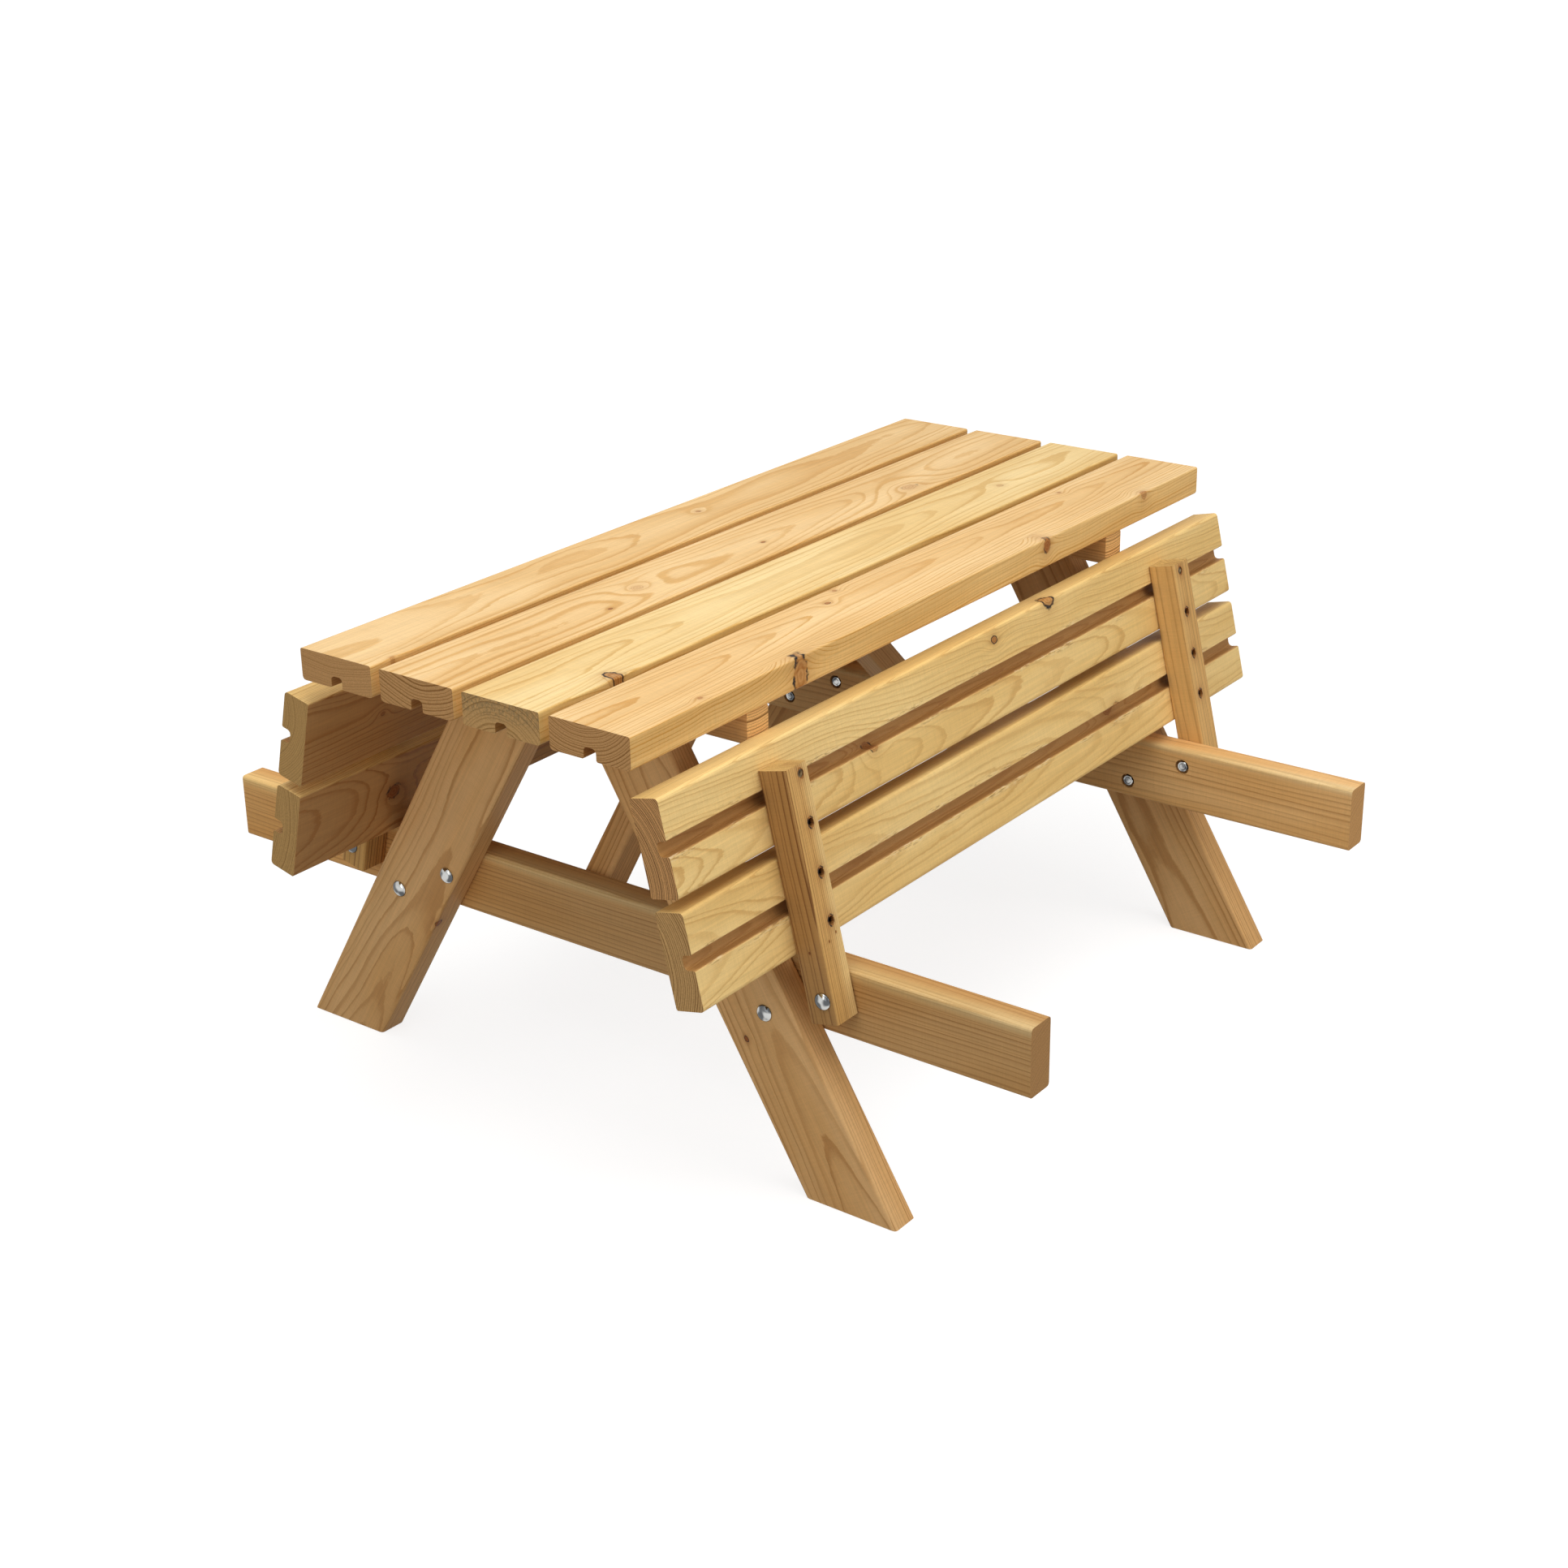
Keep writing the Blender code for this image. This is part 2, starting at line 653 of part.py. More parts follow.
def build_end(end_name):
    """One end of the table: two legs, the seat beam, the top rail and the brace."""
    end = ENDS[end_name]
    beam = seat_beam(end_name)
    end_rail = rail(f"{end_name}_top_rail", end * RAIL_X, 2 * RAIL_HALF)
    stay = brace(end_name)
    pivots = [pivot_bolt_place(end, side * PIVOT_OUT, PIVOT_Z) for side in SIDES.values()]
    drill(beam, PIVOT_BOLT_HOLE, pivots)
    for side_name, side in SIDES.items():
        post = leg(end_name, side_name)
        places = {
            "outer": leg_bolt_place(end, side, OUTER_BOLT_OFFSET, -1),
            "inner": leg_bolt_place(end, side, INNER_BOLT_OFFSET, 1),
        }
        drill(post, LEG_BOLT_HOLE, places.values())
        drill(beam, LEG_BOLT_HOLE, places.values())
        for place_name, place in places.items():
            name = f"{end_name}_{side_name}_leg_{place_name}"
            hardware(name, LEG_BOLT, LEG_THICKNESS, place)
    screws = top_screw_places(end * RAIL_X, RAIL_HALF) + rail_screw_places(end)
    drill(end_rail, SCREW_POCKET, screws)
    drill(stay, SCREW_POCKET, brace_screw_places(end))


def build_bench(side_name):
    """A bench that swings on two bolts through the seat beams."""
    side = SIDES[side_name]
    pivot = bench_pivot(side_name)
    seat_boards(side_name, pivot)
    for end_name, end in ENDS.items():
        cleat = seat_cleat(end_name, side_name, pivot)
        place = pivot_bolt_place(end)
        screws = [pivot.matrix_world @ spot for spot in seat_screw_places(end, side)]
        drill(cleat, PIVOT_BOLT_HOLE, [pivot.matrix_world @ place])
        drill(cleat, SCREW_POCKET, screws)
        hardware(f"{side_name}_{end_name}_pivot", PIVOT_BOLT, CLEAT_WIDTH, place, pivot)


for board_number in range(BOARD_COUNT):
    top_board(board_number)
middle_cleat = rail("middle_top_cleat", 0.0, MIDDLE_CLEAT_LENGTH)
drill(middle_cleat, SCREW_POCKET, top_screw_places(0.0, MIDDLE_CLEAT_LENGTH / 2))
for table_end in ENDS:
    build_end(table_end)
for bench_side in SIDES:
    build_bench(bench_side)
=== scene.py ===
"""Kids picnic table: timber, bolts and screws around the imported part, in a plain white studio."""

import json
import math

import bmesh
import bpy
from mathutils import Matrix, Vector


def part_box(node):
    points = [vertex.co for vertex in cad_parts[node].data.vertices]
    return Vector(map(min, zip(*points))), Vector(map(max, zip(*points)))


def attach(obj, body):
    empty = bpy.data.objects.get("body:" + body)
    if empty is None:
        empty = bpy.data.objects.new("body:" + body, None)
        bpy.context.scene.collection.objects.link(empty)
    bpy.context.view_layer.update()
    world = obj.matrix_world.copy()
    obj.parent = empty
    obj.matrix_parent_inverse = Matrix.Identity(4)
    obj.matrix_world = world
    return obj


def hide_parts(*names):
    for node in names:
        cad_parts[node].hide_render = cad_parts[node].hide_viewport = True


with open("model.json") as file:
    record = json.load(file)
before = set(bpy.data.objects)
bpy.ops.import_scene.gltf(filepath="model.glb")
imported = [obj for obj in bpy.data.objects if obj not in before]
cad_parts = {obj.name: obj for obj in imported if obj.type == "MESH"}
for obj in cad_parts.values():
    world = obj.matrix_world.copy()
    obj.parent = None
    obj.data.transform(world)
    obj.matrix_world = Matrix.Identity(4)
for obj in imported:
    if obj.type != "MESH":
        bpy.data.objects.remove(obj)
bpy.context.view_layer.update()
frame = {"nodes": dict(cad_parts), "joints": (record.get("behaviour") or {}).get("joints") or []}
nodes = frame["nodes"]
scene = bpy.context.scene

# Sizes of the part that the finishes and the screws are placed by
TOP_SURFACE = 0.588
BOARD_WIDTH = 0.110
BOARD_THICKNESS = 0.038
TOP_PITCH = 0.1235
CARRIER_TOP = 0.5497
RAIL_SIZE = 0.038
LEG_WIDTH = 0.105
LEG_LEAN = math.radians(31.0)
LEG_TOP_FROM_CENTRE = 0.004
LEG_X = 0.421
BEAM_X = 0.3827
BEAM_Z = 0.2375
CLEAT_X = 0.421
CLEAT_MIDDLE = 0.117
CLEAT_LEVEL = 0.0042
SEAT_LEVEL = 0.0425
SEAT_START = 0.0516
SEAT_PITCH = 0.1243
MIDDLE_CLEAT_HALF = 0.175
GROOVE_HALF_WIDTH = 0.0094
GROOVE_CEILING = -0.003
# How far the faces of all the timber lie from its middle
FACE = BOARD_THICKNESS / 2

# Fasteners
BOLT_RADIUS = 0.004
BOLT_HEAD_RADIUS = 0.0103
BOLT_HEAD_HEIGHT = 0.0049
NECK_SIDE = 0.008
NECK_DEPTH = 0.0041
BOLT_PITCH = 0.00125
BOLT_THREAD_TURNS = 18
WASHER_RADIUS = 0.008
WASHER_THICKNESS = 0.0016
NUT_ACROSS_FLATS = 0.013
NUT_HEIGHT = 0.0065
SCREW_LENGTH = 0.050
SCREW_ROOT = 0.0016
SCREW_THREAD = 0.0008
SCREW_PITCH = 0.0024
SCREW_HEAD_RADIUS = 0.0045
SCREW_HEAD_DEPTH = 0.0032
CROSS_RECESS = (0.0048, 0.0011, 0.0044)
SCREW_RECESS = 0.001
DEEP_RECESS = 0.007
SEAT_SCREW_INWARD = 0.005
WELD = 1e-6

# Each seat screw's distance from the pivot, and how deep its head sits
SEAT_SCREWS = (
    (0.0856, DEEP_RECESS),
    (0.1406, DEEP_RECESS),
    (0.1969, DEEP_RECESS),
    (0.2519, SCREW_RECESS),
)
TOP_SCREW_FROM_MIDDLE = 0.028

ENDS = {"near": -1, "far": 1}
SIDES = {"left": 1, "right": -1}
HINGE = {joint["child"]: joint for joint in frame["joints"]}
FOLD = math.radians(HINGE["left_bench"]["range_deg"][1])
PIVOT_Y = abs(HINGE["left_bench"]["pos_m"][1])
PIVOT_Z = HINGE["left_bench"]["pos_m"][2]


# Camera


def aim_camera():
    """The camera stands at the near right corner, a little above the top."""
    right = Vector((0.606415009, -0.794890672, -0.020239948))
    down = Vector((-0.313791184, -0.215844980, -0.924632921))
    ahead = Vector((0.730613393, 0.567062398, -0.380321320))
    data = bpy.data.cameras.new("camera")
    camera = bpy.data.objects.new("camera", data)
    scene.collection.objects.link(camera)
    turn = Matrix((right, -down, -ahead)).transposed().to_4x4()
    camera.matrix_world = Matrix.Translation((-2.38847, -1.78675, 1.52738)) @ turn
    data.sensor_width = 36.0
    data.lens = 57.775
    data.shift_x = 0.01903
    data.shift_y = -0.01291
    data.clip_start = 0.05
    data.clip_end = 60.0
    scene.camera = camera


aim_camera()


# Shader trees


def fill(tree, made, inputs):
    """Set a shader node's inputs, which are values or other nodes' sockets."""
    for name, value in inputs.items():
        if isinstance(value, bpy.types.NodeSocket):
            tree.links.new(value, made.inputs[name])
        else:
            made.inputs[name].default_value = value
    return made


def wire(tree, kind, inputs=None, **settings):
    """Add a shader node with its settings and its inputs."""
    made = tree.nodes.new(kind)
    for name, value in settings.items():
        setattr(made, name, value)
    return fill(tree, made, inputs or {})


def calc(tree, operation, first, second=0.0, third=0.0, clamp=False):
    inputs = {0: first, 1: second, 2: third}
    return wire(tree, "ShaderNodeMath", inputs, operation=operation, use_clamp=clamp).outputs[0]


def product(tree, first, *others):
    """The product of two or more values."""
    for other in others:
        first = calc(tree, "MULTIPLY", first, other)
    return first


def vector_calc(tree, operation, first, second=(0.0, 0.0, 0.0), scale=1.0):
    made = wire(tree, "ShaderNodeVectorMath", {0: first, 1: second, 3: scale}, operation=operation)
    return made.outputs["Value" if operation in ("LENGTH", "DOT_PRODUCT") else "Vector"]


def stretched(tree, place, along, across, shift):
    """The place, scaled along and across the grain and moved to its own spot in the pattern."""
    scaled = vector_calc(tree, "MULTIPLY", place, (along, across, across))
    offset = wire(tree, "ShaderNodeCombineXYZ", {0: shift, 1: shift}).outputs[0]
    return vector_calc(tree, "ADD", scaled, offset)


def cloud(tree, vector, detail=2.0, rough=0.5):
    """Soft noise from 0 to 1."""
    inputs = {"Vector": vector, "Scale": 1.0, "Detail": detail, "Roughness": rough}
    return wire(tree, "ShaderNodeTexNoise", inputs).outputs["Fac"]


def trail(tree, distance, detail=1.0):
    """Noise along one line."""
    inputs = {"W": distance, "Scale": 1.0, "Detail": detail}
    return wire(tree, "ShaderNodeTexNoise", inputs, noise_dimensions="1D").outputs


def step_up(tree, value, low, high):
    """0 below low, 1 above high, smooth between."""
    inputs = {"Value": value, "From Min": low, "From Max": high, "To Min": 0.0, "To Max": 1.0}
    return wire(tree, "ShaderNodeMapRange", inputs, interpolation_type="SMOOTHSTEP").outputs[0]


def step_down(tree, value, low, high):
    """1 below low, 0 above high, smooth between."""
    return calc(tree, "SUBTRACT", 1.0, step_up(tree, value, low, high))


def blend(tree, amount, first, second, mode="MIX"):
    """A blend of two colours."""
    made = wire(tree, "ShaderNodeMix", data_type="RGBA", blend_type=mode)
    fill(tree, made, {0: amount, 6: first, 7: second})
    return made.outputs[2]


def shaded(tree, colour, level):
    """A colour times a plain number."""
    grey = wire(tree, "ShaderNodeCombineColor", {0: level, 1: level, 2: level}).outputs[0]
    return blend(tree, 1.0, colour, grey, "MULTIPLY")


def tinted(tree, amount, colour, tint):
    """A colour times a tint, as far as the amount says."""
    return blend(tree, amount, colour, tint, "MULTIPLY")


def ramp(tree, value, stops):
    """A curve through (position, level) points."""
    made = wire(tree, "ShaderNodeValToRGB", {0: value})
    elements = made.color_ramp.elements
    while len(elements) < len(stops):
        elements.new(0.5)
    for element, (position, level) in zip(elements, stops):
        element.position = position
        element.color = (level, level, level, 1.0)
    return made.outputs[0]


def new_group(name, inputs, outputs):
    """A node group with its inputs as (name, kind, start value) and its outputs as (name, kind)."""
    tree = bpy.data.node_groups.new(name, "ShaderNodeTree")
    for label, kind, value in inputs:
        socket = tree.interface.new_socket(label, in_out="INPUT", socket_type="NodeSocket" + kind)
        socket.default_value = value
    for label, kind in outputs:
        tree.interface.new_socket(label, in_out="OUTPUT", socket_type="NodeSocket" + kind)
    start = tree.nodes.new("NodeGroupInput")
    end = tree.nodes.new("NodeGroupOutput")
    return tree, start.outputs, end.inputs


# Timber

# How dark the wood is from one ring to the next, pale early wood first
RING_CURVE = [(0.0, 0.0), (0.42, 0.04), (0.68, 0.26), (0.82, 1.0), (0.95, 1.0), (1.0, 0.0)]
WARM_STREAK = (0.94, 0.89, 0.80, 1)
PALE_STREAK = (1.04, 1.06, 1.10, 1)
# painted shade, darker and redder, inside the groove under a board
GROOVE_PAINTED_SHADE = (0.56, 0.42, 0.34, 1)
TORN_FIBRE = (0.32, 0.17, 0.065, 1)
LIFTED_FIBRE = (0.88, 0.70, 0.42, 1)
MOULD = (0.13, 0.115, 0.065, 1)
KNOT_TINT = (0.45, 0.24, 0.11, 1)
BARK = (0.018, 0.010, 0.006, 1)


def knot_group():
    """A branch that runs through the timber: how it pushes the rings aside, and how dark it is."""
    tree, given, out = new_group(
        "knot",
        [
            ("Place", "Vector", (0, 0, 0)),
            ("Centre", "Vector", (0, 0, 0)),
            ("Axis", "Vector", (0, 0, 1)),
            ("Radius", "Float", 0.006),
            ("Stretch", "Float", 1.3),
            ("Reach", "Float", 0.02),
            ("Lift", "Float", 0.004),
            ("Rim", "Float", 0.8),
            ("Core", "Float", 0.5),
            ("Push", "Vector", (0, 0, 0)),
            ("Rise", "Float", 0.0),
            ("Red", "Float", 0.0),
            ("Black", "Float", 0.0),
        ],
        [("Push", "Vector"), ("Rise", "Float"), ("Red", "Float"), ("Black", "Float")],
    )
    shoved = vector_calc(tree, "ADD", given["Place"], given["Push"])
    away = vector_calc(tree, "SUBTRACT", shoved, given["Centre"])
    depth = vector_calc(tree, "DOT_PRODUCT", away, given["Axis"])
    sunk = vector_calc(tree, "SCALE", given["Axis"], scale=depth)
    flat = vector_calc(tree, "SUBTRACT", away, sunk)
    squeeze = calc(tree, "DIVIDE", 1.0, given["Stretch"])
    squeeze = wire(tree, "ShaderNodeCombineXYZ", {0: squeeze, 1: 1.0, 2: 1.0}).outputs[0]
    span = vector_calc(tree, "LENGTH", vector_calc(tree, "MULTIPLY", flat, squeeze))
    distance = calc(tree, "DIVIDE", span, given["Radius"])
    buried = calc(tree, "ABSOLUTE", depth)
    reach = step_down(tree, buried, given["Reach"], calc(tree, "ADD", given["Reach"], 0.004))
    squared = calc(tree, "MULTIPLY", distance, distance)
    near = product(tree, calc(tree, "EXPONENT", calc(tree, "MULTIPLY", squared, -0.14)), reach)
    grown = product(tree, near, step_up(tree, given["Lift"], 0.0, 0.001), -0.8)
    shove = vector_calc(tree, "SCALE", flat, scale=grown)
    shove = vector_calc(tree, "MULTIPLY", shove, (0.0, 1.0, 1.0))
    tree.links.new(vector_calc(tree, "ADD", given["Push"], shove), out["Push"])
    halo = calc(tree, "EXPONENT", calc(tree, "MULTIPLY", squared, -0.06))
    rise = calc(tree, "ADD", given["Rise"], product(tree, halo, given["Lift"], reach))
    tree.links.new(rise, out["Rise"])
    lumps = cloud(tree, vector_calc(tree, "MULTIPLY", away, (130, 130, 130)), 2.0, 0.6)
    edge = calc(tree, "MULTIPLY", distance, calc(tree, "MULTIPLY_ADD", lumps, 0.8, 0.6))
    rings = calc(tree, "SINE", calc(tree, "MULTIPLY", edge, 16.0))
    ringed = calc(tree, "MULTIPLY_ADD", rings, 0.12, given["Core"])
    core = calc(tree, "MULTIPLY", ringed, step_down(tree, edge, 0.8, 1.1))
    fade = calc(tree, "EXPONENT", calc(tree, "MULTIPLY", squared, -0.35))
    glow = product(tree, fade, given["Core"], 0.55)
    red = product(tree, calc(tree, "MAXIMUM", core, glow), reach)
    tree.links.new(calc(tree, "MAXIMUM", given["Red"], red), out["Red"])
    strength = calc(tree, "MINIMUM", given["Rim"], 1.0)
    bark = product(tree, step_up(tree, edge, 0.74, 0.92), step_down(tree, edge, 1.0, 1.2), strength)
    gaps = cloud(tree, vector_calc(tree, "MULTIPLY", away, (95, 95, 95)), 1.0)
    whole = calc(tree, "MULTIPLY_ADD", given["Rim"], 0.25, gaps)
    black = product(tree, bark, step_up(tree, whole, 0.64, 0.80), reach)
    tree.links.new(calc(tree, "MAXIMUM", given["Black"], black), out["Black"])
    return tree


def softwood_group():
    """Growth rings about a pith, cut wherever the timber's faces cut them."""
    tree, given, out = new_group(
        "softwood",
        [
            ("Place", "Vector", (0, 0, 0)),
            ("Facing", "Vector", (0, 0, 1)),
            ("Seed", "Float", 0.0),
            ("Pith across", "Float", 0.0),
            ("Pith above", "Float", -0.1),
            ("Taper", "Float", 0.01),
            ("Ring", "Float", 0.0035),
            ("Wander", "Float", 0.006),
            ("Figure", "Float", 0.004),
            ("Contrast", "Float", 0.8),
            ("Pale", "Color", (0.75, 0.53, 0.27, 1)),
            ("Dark", "Color", (0.58, 0.35, 0.15, 1)),
            ("Sap radius", "Float", 9.0),
            ("Sap pale", "Color", (0.8, 0.60, 0.31, 1)),
            ("Sap dark", "Color", (0.68, 0.47, 0.2, 1)),
            ("End tint", "Color", (0.66, 0.53, 0.43, 1)),
            ("End contrast", "Float", 0.9),
            ("Side tint", "Color", (1, 1, 1, 1)),
            ("Face painted shade", "Color", (1, 1, 1, 1)),
            ("Far tint", "Color", (1, 1, 1, 1)),
            ("Groove", "Float", 0.0),
            ("Torn", "Float", 0.0),
            ("Stain", "Float", 0.0),
            ("Push", "Vector", (0, 0, 0)),
            ("Rise", "Float", 0.0),
            ("Red", "Float", 0.0),
            ("Black", "Float", 0.0),
        ],
        [("Colour", "Color"), ("Height", "Float"), ("Roughness", "Float")],
    )
    place = given["Place"]
    seed = given["Seed"]
    split = wire(tree, "ShaderNodeSeparateXYZ", {0: place}).outputs
    turned = wire(tree, "ShaderNodeSeparateXYZ", {0: given["Facing"]}).outputs
    is_end = step_up(tree, calc(tree, "ABSOLUTE", turned[0]), 0.55, 0.8)
    is_side = step_up(tree, calc(tree, "ABSOLUTE", turned[1]), 0.5, 0.9)

    # the pith wanders along the timber, and the rings ripple about it
    drift = trail(tree, calc(tree, "MULTIPLY_ADD", split[0], 1.6, seed))["Color"]
    drift = wire(tree, "ShaderNodeSeparateColor", {0: drift}).outputs
    moved = vector_calc(tree, "ADD", place, given["Push"])
    shoved = wire(tree, "ShaderNodeSeparateXYZ", {0: moved}).outputs
    squares = 0.0
    for axis, pith in ((1, "Pith across"), (2, "Pith above")):
        sway = product(tree, calc(tree, "SUBTRACT", drift[axis], 0.5), given["Wander"], 2.0)
        offset = calc(tree, "SUBTRACT", calc(tree, "SUBTRACT", shoved[axis], given[pith]), sway)
        squares = calc(tree, "MULTIPLY_ADD", offset, offset, squares)
    radius = calc(tree, "SQRT", squares)
    sap_edge = calc(tree, "ADD", given["Sap radius"], 0.010)
    is_sap = step_up(tree, radius, given["Sap radius"], sap_edge)
    figure = calc(tree, "SUBTRACT", cloud(tree, stretched(tree, place, 4.2, 13.0, seed), 1.5), 0.5)
    ripple = cloud(tree, stretched(tree, place, 60.0, 170.0, seed), 4.0, 0.65)
    bent = calc(tree, "MULTIPLY_ADD", calc(tree, "SUBTRACT", ripple, 0.5), 0.085, figure)
    radius = calc(tree, "MULTIPLY_ADD", bent, calc(tree, "MULTIPLY", given["Figure"], 2.0), radius)
    radius = calc(tree, "MULTIPLY_ADD", split[0], given["Taper"], radius)
    radius = calc(tree, "ADD", radius, given["Rise"])

    # each ring pales slowly outwards from a sharp dark line
    count = calc(tree, "DIVIDE", radius, given["Ring"])
    uneven = trail(tree, calc(tree, "MULTIPLY_ADD", count, 0.45, seed))["Fac"]
    count = calc(tree, "MULTIPLY_ADD", uneven, 1.4, count)
    line = ramp(tree, calc(tree, "FRACT", count), RING_CURVE)
    year = calc(tree, "ADD", calc(tree, "FLOOR", count), seed)
    chance = wire(tree, "ShaderNodeTexWhiteNoise", {"W": year}, noise_dimensions="1D").outputs
    late = calc(tree, "MULTIPLY", line, calc(tree, "MULTIPLY_ADD", chance["Value"], 0.6, 0.5))
    fibre = cloud(tree, stretched(tree, place, 26.0, 1500.0, seed), 2.0, 0.6)
    streak = cloud(tree, stretched(tree, place, 5.0, 260.0, seed), 3.0, 0.65)
    tone = cloud(tree, stretched(tree, place, 3.0, 16.0, seed), 2.0)
    fleck = cloud(tree, stretched(tree, place, 420.0, 900.0, seed), 3.0, 0.7)
    chatter = cloud(tree, stretched(tree, place, 480.0, 40.0, seed), 2.0, 0.6)

    # planed faces
    grain = calc(tree, "MULTIPLY", late, given["Contrast"], clamp=True)
    heart = blend(tree, grain, given["Pale"], given["Dark"])
    sap = blend(tree, grain, given["Sap pale"], given["Sap dark"])
    colour = blend(tree, is_sap, heart, sap)
    warm = blend(tree, step_up(tree, tone, 0.35, 0.65), WARM_STREAK, PALE_STREAK)
    colour = tinted(tree, 1.0, colour, warm)
    colour = shaded(tree, colour, calc(tree, "MULTIPLY_ADD", fibre, 0.22, 0.89))
    colour = shaded(tree, colour, calc(tree, "MULTIPLY_ADD", streak, 0.36, 0.82))
    colour = shaded(tree, colour, calc(tree, "MULTIPLY_ADD", fleck, 0.20, 0.90))
    colour = shaded(tree, colour, calc(tree, "MULTIPLY_ADD", chatter, 0.16, 0.92))
    # painted shade on the side faces: a warm one on the top boards' sides, a darker one on the near
    # right cleat's sides
    colour = tinted(tree, is_side, colour, given["Side tint"])
    # painted shade on faces that look out of the timber's top: the seats' sitting faces
    colour = tinted(tree, step_up(tree, turned[2], 0.5, 0.9), colour, given["Face painted shade"])
    colour = tinted(tree, step_up(tree, split[0], -0.1, 0.45), colour, given["Far tint"])

    # the groove under a board gets painted shade, darker and redder, and the cutter tore a few fibres
    # at its lips
    sideways = calc(tree, "ABSOLUTE", split[1])
    between_lips = step_down(tree, sideways, GROOVE_HALF_WIDTH - 0.0008, GROOVE_HALF_WIDTH + 0.0008)
    below_middle = step_down(tree, split[2], GROOVE_CEILING - 0.0005, GROOVE_CEILING + 0.0005)
    groove = product(tree, between_lips, below_middle, given["Groove"])
    colour = tinted(tree, groove, colour, GROOVE_PAINTED_SHADE)
    under = product(tree, step_down(tree, split[2], -0.0175, -0.0150), given["Torn"])
    lip = product(tree, step_down(tree, sideways, 0.0100, 0.0175), under)
    patch = step_up(tree, cloud(tree, stretched(tree, place, 13.0, 60.0, seed), 2.0), 0.48, 0.60)
    shred = cloud(tree, stretched(tree, place, 70.0, 520.0, seed), 3.0, 0.65)
    torn = product(tree, lip, patch, step_up(tree, shred, 0.52, 0.60))
    fuzz = product(tree, lip, patch, step_down(tree, shred, 0.40, 0.48))
    colour = blend(tree, calc(tree, "MULTIPLY", torn, 0.7), colour, TORN_FIBRE)
    colour = blend(tree, calc(tree, "MULTIPLY", fuzz, 0.55), colour, LIFTED_FIBRE)

    # sawn ends drink more, so they are darker, with pores and saw marks
    speck = cloud(tree, stretched(tree, place, 300.0, 620.0, seed), 3.0, 0.75)
    end_grain = calc(tree, "MULTIPLY", late, given["End contrast"], clamp=True)
    end_colour = blend(tree, end_grain, given["Pale"], given["Dark"])
    end_colour = tinted(tree, 1.0, end_colour, given["End tint"])
    pores = calc(tree, "MULTIPLY_ADD", speck, 0.9, 0.58)
    hard_rings = calc(tree, "MULTIPLY_ADD", end_grain, -0.5, 1.0)
    end_colour = shaded(tree, end_colour, calc(tree, "MULTIPLY", pores, hard_rings))
    mould = cloud(tree, stretched(tree, place, 260.0, 330.0, seed), 4.0, 0.75)
    upper_half = step_up(tree, split[2], -0.012, 0.010)
    mould = product(tree, step_up(tree, mould, 0.40, 0.66), upper_half, given["Stain"])
    end_colour = blend(tree, mould, end_colour, MOULD)
    colour = blend(tree, is_end, colour, end_colour)

    # knots and bark
    colour = tinted(tree, given["Red"], colour, KNOT_TINT)
    colour = blend(tree, given["Black"], colour, BARK)
    tree.links.new(colour, out["Colour"])
    face_height = calc(tree, "MULTIPLY_ADD", fibre, 0.5, calc(tree, "MULTIPLY", late, 0.5))
    face_height = calc(tree, "SUBTRACT", face_height, calc(tree, "MULTIPLY", torn, 2.0))
    end_height = calc(tree, "MULTIPLY_ADD", speck, 1.6, calc(tree, "MULTIPLY", late, 0.8))
    heights = {0: is_end, 2: face_height, 3: end_height}
    height = wire(tree, "ShaderNodeMix", heights, data_type="FLOAT").outputs[0]
    tree.links.new(calc(tree, "SUBTRACT", height, given["Black"]), out["Height"])
    gloss = calc(tree, "MULTIPLY_ADD", late, -0.08, 0.60)
    tree.links.new(calc(tree, "MULTIPLY_ADD", is_end, 0.25, gloss), out["Roughness"])
    return tree


KNOT = knot_group()
SOFTWOOD = softwood_group()


def timber_finish(name, centre, along, across, look, knots=()):
    """One length of timber's finish. Its rings follow the timber's own direction and pith."""
    material = bpy.data.materials.new(name)
    material.use_nodes = True
    tree = material.node_tree
    shader = tree.nodes["Principled BSDF"]
    along = Vector(along).normalized()
    across = Vector(across).normalized()
    turn = Matrix((along, across, along.cross(across))).transposed().to_euler()
    source = wire(tree, "ShaderNodeTexCoord").outputs
    place = {"Vector": source["Object"], "Location": centre, "Rotation": turn}
    local = wire(tree, "ShaderNodeMapping", place, vector_type="TEXTURE").outputs[0]
    normal = {"Vector": source["Normal"], "Rotation": turn}
    facing = wire(tree, "ShaderNodeMapping", normal, vector_type="TEXTURE").outputs[0]
    chain = {}
    for branch in knots:
        made = wire(tree, "ShaderNodeGroup", node_tree=KNOT)
        fill(tree, made, {"Place": local, **branch, **chain})
        chain = {label: made.outputs[label] for label in ("Push", "Rise", "Red", "Black")}
    wood = wire(tree, "ShaderNodeGroup", node_tree=SOFTWOOD)
    fill(tree, wood, {"Place": local, "Facing": facing, **look, **chain})
    relief = {"Height": wood.outputs["Height"], "Strength": 0.35, "Distance": 0.0005}
    bump = wire(tree, "ShaderNodeBump", relief)
    tree.links.new(bump.outputs[0], shader.inputs["Normal"])
    tree.links.new(wood.outputs["Colour"], shader.inputs["Base Color"])
    tree.links.new(wood.outputs["Roughness"], shader.inputs["Roughness"])
    shader.inputs["Specular IOR Level"].default_value = 0.2
    return material


def knot(
    along, across, above, radius, axis=(0, 0, 1), stretch=1.3, reach=0.03, lift=0.004, rim=0.6, core=0.7
):
    """A knot, placed in its timber's own directions: along the grain, across and above its middle."""
    return {
        "Centre": (along, across, above),
        "Axis": tuple(Vector(axis).normalized()),
        "Radius": radius,
        "Stretch": stretch,
        "Reach": reach,
        "Lift": lift,
        "Rim": rim,
        "Core": core,
    }


def pin_hole(along, across, above, radius=0.0012, axis=(0, 0, 1)):
    """A small black hole or speck in a face."""
    return {**knot(along, across, above, radius, axis, 1.2, 0.003, 0.0, 1.0, 1.0), "Black": 0.0}


